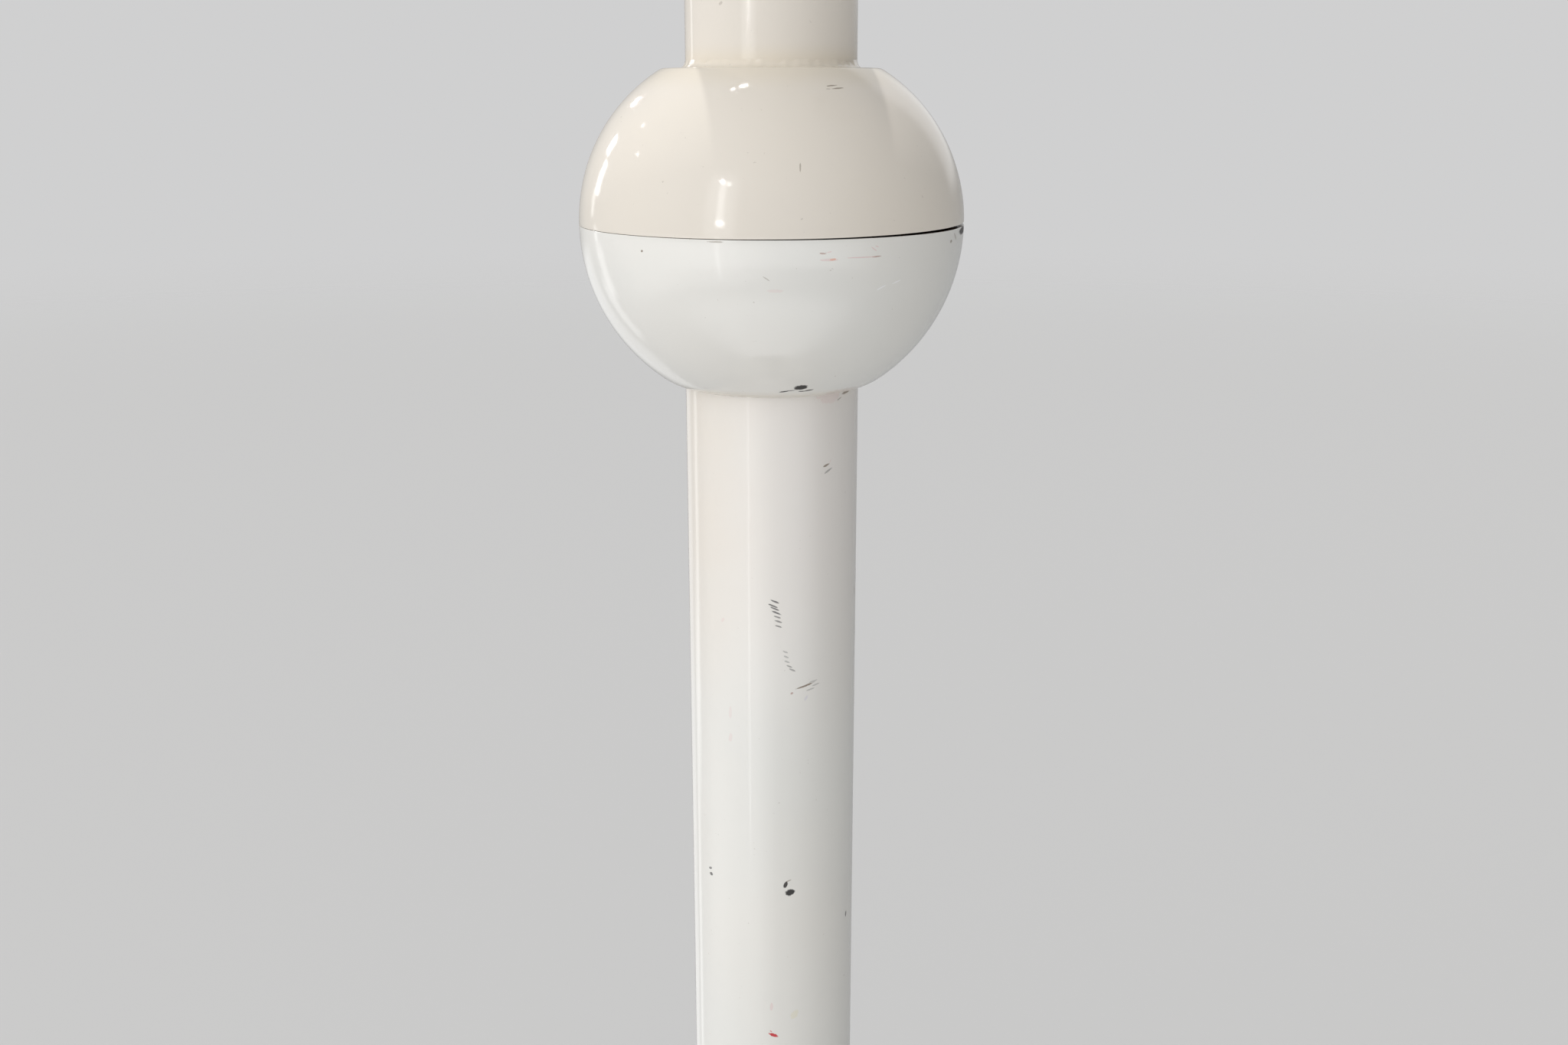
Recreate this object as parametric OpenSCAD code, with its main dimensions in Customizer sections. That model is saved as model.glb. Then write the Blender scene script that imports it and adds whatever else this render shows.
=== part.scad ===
// Adjustable floor lamp. The upper half turns on a split ball in the stem, and the shade
// turns on the end of the arm. Millimetres, floor at Z = 0, stem on the Z axis, arm along +X.

/* [Stem and arm] */
// Outside diameter of the lower stem
stem_d = 60; // [56:0.5:64]
// Outside diameter of the arm tube above the ball
arm_d = 57; // [54:0.5:60]
// Wall of the stem and arm tubes
tube_wall = 2; // [1.5:0.1:2.5]
// Height of the ball's centre above the floor
ball_z = 640; // [450:5:800]
// Height of the arm's level stretch above the floor
arm_z = 1290; // [1000:10:1500]
// Bend radius of the arm at its centre line
bend_r = 130; // [110:5:180]
// Straight length of the arm after the bend
arm_tail = 40; // [40:1:80]

/* [Ball] */
// Outside diameter of the split ball
ball_d = 130; // [126:1:140]
// Distance of the upper half's arc centre from the axis, which flattens the ball
upper_off = 6.5; // [4:0.5:8]
// Distance of the lower half's arc centre from the axis
lower_off = 1.5; // [0.5:0.5:4]
// Thickness of the two pressed half-shells
shell_wall = 2; // [1.5:0.1:2.5]
// Gap between the rims of the half-shells
seam_gap = 0.6; // [0.4:0.1:1.2]
// Rounding of the rims at the seam
rim_round = 0.8; // [0.4:0.1:1.2]
// Width of the flat shoulder round the arm tube, to its sharp corner
shoulder_w = 6.3; // [5.5:0.1:7]
// Rounding of the shoulder's edge
shoulder_round = 4; // [3:0.5:5]
// Leg of the weld bead round the foot of the arm tube
bead = 1.6; // [1:0.1:2.2]

/* [Ball swivel] */
// Thickness of each bearing plate
plate_t = 6; // [4:0.5:8]
// Distance from the seam plane to each bearing plate
plate_rise = 8; // [7:0.5:10]
// Diameter of the boss on each bearing plate
boss_d = 68; // [60:1:76]
// Thickness of the fibre disc between the bosses
friction_t = 2; // [1:0.5:3]
// Outside diameter of the hollow spindle
spindle_d = 24; // [20:1:26]
// Bore of the hollow spindle
spindle_bore = 12; // [9:0.5:14]
// Diameter of the spindle's flanged head
spindle_head_d = 42; // [38:1:46]
// Thickness of the spindle's flanged head
spindle_head_t = 5; // [3:0.5:8]
// Wall of the bush in the lower plate
bush_wall = 3; // [2:0.5:4]
// Thickness of the fibre washer under the lower plate
lower_washer_t = 1.5; // [1:0.5:3]
// Outside diameter of the washers under the lower plate
washer_d = 48; // [44:1:50]
// Thickness of the steel pressure washer
pressure_t = 2.5; // [2:0.5:4]
// Outside diameter of a disc spring
spring_d = 42; // [38:1:46]
// Thickness of a disc spring
spring_t = 1.2; // [0.8:0.1:2]
// Dish of a disc spring
spring_dish = 0.9; // [0.5:0.1:1.5]
// Width of the lock nuts across their flats
nut_af = 36; // [32:1:40]
// Thickness of a lock nut
nut_t = 6; // [4:0.5:8]
// Turn of the ball swivel each way, in degrees
swivel_turn = 165; // [90:5:166]
// Radius of the stop pin's circle
stop_r = 48; // [46:1:50]
// Diameter of the stop pin
stop_pin_d = 6; // [4:0.5:7]
// Diameter of the dowel that locks the spindle to the upper plate
dowel_d = 3; // [2:0.5:4]

/* [Base] */
// Diameter of the base
base_d = 300; // [280:5:340]
// Height of the base's top face above the floor
base_h = 34; // [32:1:45]
// Rounding of the base's upper edge
base_round = 12; // [6:1:14]
// Wall of the pressed base cover
cover_wall = 1.5; // [1:0.1:2]
// Height of the cover's lower edge above the floor
cover_lift = 2; // [1:0.5:3]
// Thickness of the felt under the base
felt_t = 3; // [2.5:0.5:4]
// Diameter of the stem's foot flange
flange_d = 110; // [104:1:120]
// Thickness of the foot flange
flange_t = 10; // [8:1:12]
// Length of the flange's spigot inside the stem
spigot_l = 24; // [18:1:40]
// Bore of the foot flange
flange_bore = 30; // [28:1:34]
// Diameter of the circle of base bolts
bolt_circle = 84; // [80:1:88]
// Diameter of a base bolt
bolt_d = 8; // [6:1:8]
// Height of the collar round the foot of the stem
collar_h = 12; // [10:1:20]
// Width of the collar's ring
collar_w = 6; // [4:0.5:10]

/* [Foot switch] */
// Distance of the switch's centre from the edge of the base
switch_edge = 45; // [40:1:48]
// Diameter of the switch body
switch_d = 38; // [36:1:40]
// Depth of the switch body under the cover
switch_depth = 23; // [20:0.5:25]
// Diameter of the button where it is pressed
button_d = 25; // [22:0.5:26]
// Height of the button above the bezel
button_rise = 7.5; // [6:0.5:10]
// Travel of the button
button_travel = 3.5; // [2:0.5:4]
// Height of the bezel
bezel_h = 4.5; // [4:0.5:6]

/* [Cord inlet] */
// Bore of the cord gland
gland_bore = 7; // [6:0.5:8]
// Diameter of the gland's neck
gland_neck_d = 12; // [11:0.5:13]
// Diameter of the gland's outer flange
gland_flange_d = 18; // [16:0.5:19]
// Length of the gland's neck
gland_neck_l = 12; // [10:1:16]
// Height of the gland and of the lead's channel
inlet_z = 14; // [13.5:0.5:15]

/* [Shade] */
// Outside diameter of the shade
shade_d = 300; // [260:5:340]
// Wall of the spun shade
shade_wall = 1.2; // [1:0.1:2]
// Depth of the straight skirt below the dome
skirt_h = 45; // [40:1:60]
// Diameter of the rolled rim
rim_d = 5; // [3.5:0.5:6]
// Number of vent holes round the crown
vents = 10; // [6:1:14]
// Diameter of a vent hole
vent_d = 8; // [5:0.5:9]
// Diameter of the circle of vent holes
vent_circle = 60; // [56:1:70]

/* [Head swivel] */
// Length of the hub between the arm and the shade
hub_l = 14; // [12:1:24]
// Thickness of the nylon disc between the arm and the hub
head_disc_t = 1; // [0.8:0.1:1.5]
// Diameter of the nylon disc
head_disc_d = 35; // [30:1:36]
// Length of the plug in the end of the arm
plug_l = 18; // [16:1:24]
// Outside diameter of the hollow head spindle
head_spindle_d = 16; // [14:0.5:18]
// Bore of the head spindle
head_bore = 8; // [7:0.5:9]
// Wall of the head bush
head_bush_wall = 2; // [1:0.5:2.5]
// Turn of the shade each way, in degrees
head_turn = 120; // [60:5:135]
// Radius of the head stop pin's circle
head_stop_r = 21.5; // [21:0.5:22]
// Diameter of the head stop pin
head_stop_d = 3; // [2:0.5:3]
// Width of the head nuts across their flats
head_nut_af = 24; // [22:1:28]
// Thickness of a head nut
head_nut_t = 5; // [4:0.5:7]
// Diameter of the steel washer in the arm
head_washer_d = 34; // [30:1:38]
// Diameter of the saddle washer inside the shade
saddle_d = 42; // [36:1:50]
// Thickness of the saddle washer at its centre
saddle_t = 5; // [4:0.5:8]

/* [Lamp holder and bulb] */
// Outside diameter of the holder body
holder_d = 38.4; // [37:0.2:42]
// Length of the holder's cap
holder_cap_l = 20; // [18:1:26]
// Length of the holder body
holder_body_l = 26; // [26:1:32]
// Diameter of the bulb's screw cap
bulb_cap_d = 26.4; // [26:0.1:26.6]
// Length of the bulb's screw cap
bulb_cap_l = 24; // [22:1:26]
// Diameter of the bulb's globe
bulb_d = 60; // [45:1:70]
// Length of the glass from the screw cap to its tip
bulb_glass_l = 81; // [76:1:95]
// Thickness of the glass
glass_wall = 1; // [0.6:0.1:1.5]

/* [Lead and fits] */
// Diameter of the internal lead
lead_d = 6; // [5:0.5:6.5]
// Bend radius of the lead at the foot of the stem
lead_bend = 30; // [25:1:34]
// Radial clearance of a running fit
run_gap = 0.05; // [0.02:0.01:0.09]
// Radial clearance between pieces fixed together
fix_gap = 0.05; // [0.02:0.01:0.1]
// Clearance between pieces that pass but never touch
free_gap = 0.3; // [0.3:0.05:0.4]
// Gap between two like pieces stacked on one spindle
stack_gap = 0.1; // [0.05:0.05:0.2]

/* [Hidden] */
$fn = 96;

big = 400;
thread_end = 2;
stem_r = stem_d / 2;
stem_bore_r = stem_r - tube_wall;
arm_r = arm_d / 2;
arm_bore_r = arm_r - tube_wall;
ball_r = ball_d / 2;
ball_in_r = ball_r - shell_wall;
shoulder_z = sqrt(pow(ball_r - upper_off, 2) - pow(arm_r + shoulder_w - upper_off, 2));

// Heights of the ball swivel, measured from the seam plane
plate_back = plate_rise + plate_t;
bush_r = spindle_d / 2 + bush_wall;
lower_washer_z = -plate_back - lower_washer_t;
pressure_z = lower_washer_z - pressure_t;
springs_z = pressure_z - 2 * (spring_t + spring_dish) - stack_gap;
nuts_z = springs_z - 2 * nut_t - stack_gap;
spindle_tip_z = nuts_z - thread_end;
dowel_r = (spindle_d + spindle_head_d) / 4;
stop_ring = stop_pin_d + 2;
stop_clear = 1.5;
stop_block_h = 2 * (plate_rise - stop_clear);
stop_half = 180 - swivel_turn - asin((stop_pin_d / 2 + free_gap) / stop_r);

// Base
cover_top = base_h - cover_wall;
flange_z = cover_top - flange_t;
felt_inset = 2;
cast_gap = 2;
channel_w = 12;
channel_top = inlet_z + channel_w / 2;
lead_hole_r = flange_bore / 2 + channel_w / 2;
bolt_head_af = 1.625 * bolt_d;
bolt_head_t = 0.65 * bolt_d;
bolt_head_gap = 1;
bolt_washer_t = 1.6;
bolt_washer_r = bolt_d;
bolt_seat_z = felt_t + bolt_head_gap + bolt_head_t + bolt_washer_t;
bolt_tip_z = cover_top - thread_end;
screw_d = 4;
screw_l = 6;
stem_screw_z = base_h + collar_h / 2;

// Foot switch
switch_r = base_d / 2 - switch_edge;
neck_wall = 2;
neck_rise = 2;
button_lip = 1.5;
shoulder_r = button_d / 2 + button_lip;
neck_r = shoulder_r + free_gap + neck_wall;
neck_top_z = base_h + neck_rise;
switch_floor_z = cover_top - switch_depth;
button_guide = 10;
button_play = 0.2;
button_foot_z = neck_top_z - button_guide;
button_top_z = base_h + bezel_h + button_rise;

// Cord gland
gland_flange_t = 3;
gland_nut_t = 5;
gland_nut_af = 16;

// Head, measured along the arm from its end face
arm_end_x = bend_r + arm_tail;
hub_z = head_disc_t;
hub_spare = 8;
shade_r = shade_d / 2;
shade_x = arm_end_x + hub_z + hub_l + shade_r;
wall_z = hub_z + hub_l + shade_wall;
nut_face_z = wall_z + saddle_t;
holder_z = nut_face_z + head_nut_t;
holder_r = holder_d / 2;
body_z = holder_z + holder_cap_l;
mouth_z = body_z + holder_body_l;
cap_floor_t = 9;
cap_wall = 2.5;
cap_taper = 7;
spindle_in_cap = 8;
contact_t = 1;
contact_r = 5;
holder_floor_t = 4;
holder_ring_l = 9;
holder_ring_wall = 2.5;
contact_z = body_z + holder_floor_t;
bulb_tip_z = contact_z + contact_t;
bulb_tip_h = 2;
bulb_cap_z = bulb_tip_z + bulb_tip_h;
glass_z = bulb_cap_z + bulb_cap_l;
globe_z = glass_z + bulb_glass_l - bulb_d / 2;
thread_wall = 0.8;
thread_r = bulb_cap_d / 2 + 0.4;
head_bush_r = head_spindle_d / 2 + head_bush_wall;
head_washer_t = 1;
head_pressure_t = 2;
head_spring_t = 0.8;
head_spring_dish = 0.7;
head_spring_d = head_washer_d - 4;
washer_back_z = -plug_l - head_washer_t;
head_pressure_z = washer_back_z - head_pressure_t;
head_springs_z = head_pressure_z - 2 * (head_spring_t + head_spring_dish) - stack_gap;
head_nuts_z = head_springs_z - 2 * head_nut_t - stack_gap;
head_tip_z = head_nuts_z - thread_end;
head_stop_half = head_turn + asin((head_stop_d / 2 + free_gap) / head_stop_r);
head_stop_in = 4;
head_stop_hub = 7;
plug_r = arm_bore_r - fix_gap;

// Radius of a plate that fits into a half-shell at height plate_back
function plate_r(off) = off + sqrt(pow(ball_in_r - off, 2) - pow(plate_back, 2)) - fix_gap;

// A round washer, disc or tube standing on Z = 0
module ring(r_out, r_in, h) {
    difference() {
        cylinder(r = r_out, h = h);
        translate([0, 0, -1]) cylinder(r = r_in, h = h + 2);
    }
}

// A hexagon nut standing on Z = 0
module hex_nut(af, r_in, h) {
    difference() {
        cylinder(d = af / cos(30), h = h, $fn = 6);
        translate([0, 0, -1]) cylinder(r = r_in, h = h + 2);
    }
}

// A pair of disc springs set cone to cone, standing on Z = 0
module spring_pair(r_out, r_in, t, dish) {
    cone = [[r_in, dish], [r_out, 0], [r_out, t], [r_in, dish + t]];
    rotate_extrude() polygon(cone);
    translate([0, 0, 2 * (t + dish) + stack_gap]) mirror([0, 0, 1]) rotate_extrude() polygon(cone);
}

// Copies on a circle, the first at angle start
module round_about(n, r, start = 0) {
    for (i = [0:n - 1]) rotate([0, 0, start + i * 360 / n]) translate([r, 0, 0]) children();
}

// Half a section through a ball of radius r at its widest, whose arc has its centre off the
// axis, cut flat at height cut with a rounded corner
module cut_ball(r, off, cut, corner) {
    arc_r = r - off;
    mid_z = cut - corner;
    mid_x = off + sqrt(pow(arc_r - corner, 2) - pow(mid_z, 2));
    touch_z = mid_z * arc_r / (arc_r - corner);
    intersection() {
        translate([off, 0]) circle(arc_r);
        translate([0, touch_z - big]) square([big, big]);
    }
    translate([0, touch_z - corner]) square([mid_x, cut - touch_z + corner]);
    intersection() {
        translate([mid_x, mid_z]) circle(corner);
        translate([0, -big]) square([big, 2 * big]);
    }
}

module at_ball() {
    translate([0, 0, ball_z]) children();
}

// Local Z runs along the arm's level stretch and starts at the end face of the arm
module at_arm_end() {
    translate([arm_end_x, 0, arm_z]) rotate([0, 90, 0]) children();
}

module at_shade() {
    translate([shade_x, 0, arm_z]) children();
}

// The four bolts that hold the stem's flange to the weight
module bolt_places() {
    round_about(4, bolt_circle / 2, 45) children();
}

// The three radial screws in the foot of the stem
module stem_screw_places() {
    translate([0, 0, stem_screw_z]) round_about(3, 0, 30) rotate([0, 90, 0]) children();
}

module at_switch() {
    translate([0, -switch_r, 0]) children();
}

// Local Z runs out of the back of the base, along the cord
module at_inlet() {
    translate([0, 0, inlet_z]) rotate([-90, 0, 0]) children();
}

// Quarter turn of a round bar of section r, from straight up to level
module arm_bend(r) {
    translate([bend_r, 0, arm_z - bend_r])
        rotate([90, 0, 0])
            rotate([0, 0, 90])
                rotate_extrude(angle = 90) translate([bend_r, 0]) circle(r);
}

// The dome and skirt of the shade as a solid of radius r
module shade_form(r) {
    intersection() {
        sphere(r, $fn = 240);
        translate([-big, -big, 0]) cube([2 * big, 2 * big, big]);
    }
    translate([0, 0, -skirt_h]) cylinder(r = r, h = skirt_h, $fn = 240);
}

// Base

module base_felt() {
    color("dimgray") cylinder(r = base_d / 2 - cover_wall - felt_inset, h = felt_t);
}

module base_weight() {
    weight_r = base_d / 2 - cover_wall - free_gap;
    corner = base_round - cover_wall;
    color("gray") difference() {
        rotate_extrude() {
            translate([0, felt_t]) square([weight_r - corner, cover_top - felt_t]);
            translate([0, felt_t]) square([weight_r, cover_top - corner - felt_t]);
            translate([weight_r - corner, cover_top - corner]) intersection() {
                circle(corner);
                square(corner);
            }
        }
        cylinder(r = lead_hole_r, h = flange_z + 1);
        translate([0, 0, flange_z]) cylinder(r = flange_d / 2 + fix_gap, h = flange_t + 1);
        bolt_places() {
            cylinder(r = bolt_d / 2 + free_gap, h = base_h);
            cylinder(r = bolt_washer_r + cast_gap, h = bolt_seat_z);
        }
        at_switch() cylinder(r = switch_d / 2 + cast_gap, h = base_h);
        translate([-channel_w / 2, -switch_r, 0]) cube([channel_w, base_d, channel_top]);
        translate([-channel_w, base_d / 2 - gland_neck_l - cast_gap, 0])
            cube([2 * channel_w, base_d, inlet_z + channel_w]);
    }
}

module base_cover() {
    outer_r = base_d / 2;
    color("whitesmoke") difference() {
        rotate_extrude() difference() {
            union() {
                translate([0, cover_lift]) square([outer_r, base_h - base_round - cover_lift]);
                square([outer_r - base_round, base_h]);
                translate([outer_r - base_round, base_h - base_round]) intersection() {
                    circle(base_round);
                    square(base_round);
                }
            }
            union() {
                square([outer_r - cover_wall, base_h - base_round]);
                square([outer_r - base_round, cover_top]);
                translate([outer_r - base_round, base_h - base_round]) intersection() {
                    circle(base_round - cover_wall);
                    square(base_round);
                }
            }
            square([stem_r + free_gap, 2 * base_h]);
        }
        at_switch() cylinder(r = neck_r + fix_gap, h = 2 * base_h);
        at_inlet() cylinder(r = gland_neck_d / 2 + fix_gap, h = base_d);
    }
}

module stem_flange() {
    color("silver") difference() {
        union() {
            translate([0, 0, flange_z]) cylinder(d = flange_d, h = flange_t);
            translate([0, 0, cover_top]) cylinder(r = stem_bore_r - fix_gap, h = spigot_l);
        }
        cylinder(d = flange_bore, h = base_h + spigot_l + 1);
        bolt_places() cylinder(r = bolt_d / 2 + fix_gap, h = bolt_tip_z);
        stem_screw_places() cylinder(r = screw_d / 2 + fix_gap, h = stem_r);
    }
}

module base_bolts() {
    color("silver") bolt_places() {
        translate([0, 0, bolt_seat_z - bolt_washer_t - bolt_head_t])
            cylinder(d = bolt_head_af / cos(30), h = bolt_head_t, $fn = 6);
        translate([0, 0, bolt_seat_z - bolt_washer_t])
            cylinder(d = bolt_d, h = bolt_tip_z - bolt_seat_z + bolt_washer_t);
    }
}

module base_washers() {
    color("silver") bolt_places() translate([0, 0, bolt_seat_z - bolt_washer_t])
        ring(bolt_washer_r, bolt_d / 2 + free_gap, bolt_washer_t);
}

module base_collar() {
    inner = stem_r + free_gap;
    corner = 2.5;
    color("whitesmoke") translate([0, 0, base_h]) rotate_extrude() {
        translate([inner, 0]) square([collar_w, collar_h - corner]);
        translate([inner, 0]) square([collar_w - corner, collar_h]);
        translate([inner + collar_w - corner, collar_h - corner]) circle(corner);
    }
}

module stem_screws() {
    color("dimgray") stem_screw_places() translate([0, 0, stem_r - screw_l])
        cylinder(d = screw_d, h = screw_l);
}

// Cord inlet

module cord_gland() {
    color("dimgray") at_inlet() difference() {
        union() {
            translate([0, 0, base_d / 2 + gland_flange_t / 2])
                cylinder(d1 = gland_flange_d, d2 = gland_flange_d - gland_flange_t, h = gland_flange_t / 2);
            translate([0, 0, base_d / 2]) cylinder(d = gland_flange_d, h = gland_flange_t / 2);
            translate([0, 0, base_d / 2 - gland_neck_l])
                cylinder(d = gland_neck_d, h = gland_neck_l);
        }
        cylinder(d = gland_bore, h = base_d);
    }
}

module gland_nut() {
    color("dimgray") at_inlet() translate([0, 0, base_d / 2 - cover_wall - gland_nut_t - free_gap])
        hex_nut(gland_nut_af, gland_neck_d / 2 + fix_gap, gland_nut_t);
}

// Foot switch

module switch_body() {
    color("dimgray") at_switch() difference() {
        union() {
            translate([0, 0, switch_floor_z]) cylinder(d = switch_d, h = switch_depth);
            translate([0, 0, cover_top]) cylinder(r = neck_r, h = neck_top_z - cover_top);
        }
        translate([0, 0, button_foot_z - button_travel - free_gap])
            cylinder(r = shoulder_r + free_gap, h = base_h);
    }
}

module switch_bezel() {
    inner = button_d / 2 + free_gap;
    thread = neck_r + fix_gap;
    outer = thread + 4;
    bevel = 1;
    color("silver") at_switch() translate([0, 0, base_h]) rotate_extrude() polygon([
        [thread, 0], [outer, 0], [outer, bezel_h - bevel], [outer - bevel, bezel_h],
        [inner, bezel_h], [inner, neck_rise], [thread, neck_rise]
    ]);
}

module push_button() {
    crown = 3;
    color("dimgray") at_switch() {
        translate([0, 0, button_foot_z]) cylinder(r = shoulder_r, h = button_guide - button_play);
        rotate_extrude() {
            translate([0, button_foot_z])
                square([button_d / 2, button_top_z - crown - button_foot_z]);
            translate([0, button_foot_z])
                square([button_d / 2 - crown, button_top_z - button_foot_z]);
            translate([button_d / 2 - crown, button_top_z - crown]) circle(crown);
        }
    }
}

// Lower stem and lower half of the ball

module lower_stem() {
    length = ball_z - plate_back - cover_top;
    color("whitesmoke") difference() {
        translate([0, 0, cover_top]) ring(stem_r, stem_bore_r, length);
        stem_screw_places() cylinder(r = screw_d / 2 + fix_gap, h = 2 * stem_r);
    }
}

module lower_shell() {
    color("whitesmoke") at_ball() rotate_extrude() difference() {
        cut_ball(ball_r, lower_off, -seam_gap / 2, rim_round);
        translate([lower_off, 0]) circle(ball_in_r - lower_off);
        translate([0, -big]) square([stem_r + fix_gap, 2 * big]);
    }
}

module lower_plate() {
    color("silver") at_ball() difference() {
        union() {
            translate([0, 0, -plate_back]) cylinder(r = plate_r(lower_off), h = plate_t);
            translate([0, 0, -plate_rise])
                cylinder(d = boss_d, h = plate_rise - friction_t / 2);
        }
        translate([0, 0, -big / 2]) cylinder(r = bush_r + fix_gap, h = big);
    }
}

module stop_block() {
    color("gray") at_ball() translate([0, 0, -plate_rise]) rotate([0, 0, 270 - stop_half])
        rotate_extrude(angle = 2 * stop_half)
            translate([stop_r - stop_ring / 2, 0]) square([stop_ring, stop_block_h]);
}

module bearing_bush() {
    color("goldenrod") at_ball() translate([0, 0, -plate_back])
        ring(bush_r, spindle_d / 2 + run_gap, plate_back - friction_t / 2);
}

module friction_disc() {
    color("sienna") at_ball() translate([0, 0, -friction_t / 2])
        ring(boss_d / 2 - 1, spindle_d / 2 + free_gap, friction_t);
}

module lower_washer() {
    color("sienna") at_ball() translate([0, 0, lower_washer_z])
        ring(washer_d / 2, spindle_d / 2 + free_gap, lower_washer_t);
}

// From the switch along the channel, round the foot and up to the seam plane
module stem_lead() {
    start_y = -switch_r + switch_d / 2;
    color("white") {
        translate([0, start_y, inlet_z]) rotate([-90, 0, 0])
            cylinder(d = lead_d, h = -lead_bend - start_y);
        translate([0, -lead_bend, inlet_z + lead_bend])
            rotate([90, 0, 90])
                rotate([0, 0, -90])
                    rotate_extrude(angle = 90) translate([lead_bend, 0]) circle(d = lead_d);
        translate([0, 0, inlet_z + lead_bend])
            cylinder(d = lead_d, h = ball_z - inlet_z - lead_bend);
    }
}

// Upper half of the ball

module upper_shell() {
    hole_r = arm_r + fix_gap;
    color("linen") at_ball() rotate_extrude() {
        difference() {
            intersection() {
                cut_ball(ball_r, upper_off, shoulder_z, shoulder_round);
                mirror([0, 1]) cut_ball(ball_r, upper_off, -seam_gap / 2, rim_round);
            }
            cut_ball(ball_in_r, upper_off, shoulder_z - shell_wall, shoulder_round - shell_wall);
            square([hole_r, big]);
        }
        translate([hole_r, shoulder_z]) difference() {
            square(bead);
            translate([bead, bead]) circle(bead);
        }
    }
}

module upper_plate() {
    color("silver") at_ball() difference() {
        union() {
            translate([0, 0, plate_rise]) cylinder(r = plate_r(upper_off), h = plate_t);
            translate([0, 0, friction_t / 2])
                cylinder(d = boss_d, h = plate_rise - friction_t / 2);
        }
        translate([0, 0, -1]) cylinder(r = spindle_d / 2 + fix_gap, h = big);
        translate([0, stop_r, 0]) cylinder(r = stop_pin_d / 2 + fix_gap, h = big);
        translate([dowel_r, 0, plate_rise]) cylinder(r = dowel_d / 2 + fix_gap, h = big);
    }
}

module stop_pin() {
    length = plate_back + plate_rise - stop_clear;
    color("gray") at_ball() translate([0, stop_r, plate_back - length])
        cylinder(d = stop_pin_d, h = length);
}

module pivot_spindle() {
    color("lightgray") at_ball() difference() {
        union() {
            translate([0, 0, plate_back]) cylinder(d = spindle_head_d, h = spindle_head_t);
            translate([0, 0, spindle_tip_z]) cylinder(d = spindle_d, h = plate_back - spindle_tip_z);
        }
        translate([0, 0, -big / 2]) cylinder(d = spindle_bore, h = big);
        translate([dowel_r, 0, plate_back - 1]) cylinder(r = dowel_d / 2 + fix_gap, h = big);
    }
}

module spindle_dowel() {
    color("gray") at_ball() translate([dowel_r, 0, plate_rise])
        cylinder(d = dowel_d, h = plate_t + spindle_head_t);
}

module pressure_washer() {
    color("silver") at_ball() translate([0, 0, pressure_z])
        ring(washer_d / 2, spindle_d / 2 + fix_gap, pressure_t);
}

module disc_springs() {
    color("silver") at_ball() translate([0, 0, springs_z])
        spring_pair(spring_d / 2, spindle_d / 2 + free_gap, spring_t, spring_dish);
}

module lock_nuts() {
    color("silver") at_ball() for (i = [0, 1])
        translate([0, 0, nuts_z + i * (nut_t + stack_gap)]) rotate([0, 0, 20 * i])
            hex_nut(nut_af, spindle_d / 2 + fix_gap, nut_t);
}

// Arm

module arm_tube() {
    foot_z = ball_z + plate_back;
    color("linen") difference() {
        union() {
            translate([0, 0, foot_z]) cylinder(r = arm_r, h = arm_z - bend_r - foot_z);
            arm_bend(arm_r);
            at_arm_end() translate([0, 0, -arm_tail]) cylinder(r = arm_r, h = arm_tail);
        }
        translate([0, 0, foot_z - 1]) cylinder(r = arm_bore_r, h = arm_z - bend_r - foot_z + 1);
        arm_bend(arm_bore_r);
        at_arm_end() translate([0, 0, -arm_tail]) cylinder(r = arm_bore_r, h = arm_tail + 1);
        at_arm_end() plug_screw_places() cylinder(r = screw_d / 2 + fix_gap, h = 2 * arm_r);
    }
}

// The three radial screws of the plug; the first points down
module plug_screw_places() {
    translate([0, 0, -plug_l / 2]) for (a = [0, 120, 240])
        rotate([0, 0, a]) rotate([0, 90, 0]) children();
}

module arm_plug() {
    ring_in = head_stop_r - head_stop_d / 2 - free_gap;
    ring_out = head_stop_r + head_stop_d / 2 + free_gap;
    color("silver") at_arm_end() difference() {
        translate([0, 0, -plug_l]) cylinder(r = plug_r, h = plug_l);
        translate([0, 0, -plug_l - 1]) cylinder(r = head_bush_r + fix_gap, h = plug_l + 2);
        translate([0, 0, -head_stop_in - 1]) rotate([0, 0, 180 - head_stop_half])
            rotate_extrude(angle = 2 * head_stop_half)
                translate([ring_in, 0]) square([ring_out - ring_in, head_stop_in + 2]);
        plug_screw_places() translate([0, 0, arm_r - screw_l - 1])
            cylinder(r = screw_d / 2 + fix_gap, h = screw_l + 2);
    }
}

module plug_screws() {
    color("dimgray") at_arm_end() plug_screw_places()
        translate([0, 0, arm_r - screw_l]) cylinder(d = screw_d, h = screw_l);
}

module head_bush() {
    color("goldenrod") at_arm_end() translate([0, 0, -plug_l])
        ring(head_bush_r, head_spindle_d / 2 + run_gap, plug_l);
}

module head_disc() {
    color("white") at_arm_end() ring(head_disc_d / 2, head_spindle_d / 2 + free_gap, head_disc_t);
}

module head_washer() {
    color("white") at_arm_end() translate([0, 0, washer_back_z])
        ring(head_washer_d / 2, head_spindle_d / 2 + free_gap, head_washer_t);
}

// From the seam plane up the arm, round its bend and to its end face
module arm_lead() {
    color("white") {
        at_ball() cylinder(d = lead_d, h = arm_z - bend_r - ball_z);
        arm_bend(lead_d / 2);
        at_arm_end() translate([0, 0, -arm_tail]) cylinder(d = lead_d, h = arm_tail);
    }
}

// Head swivel

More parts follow.
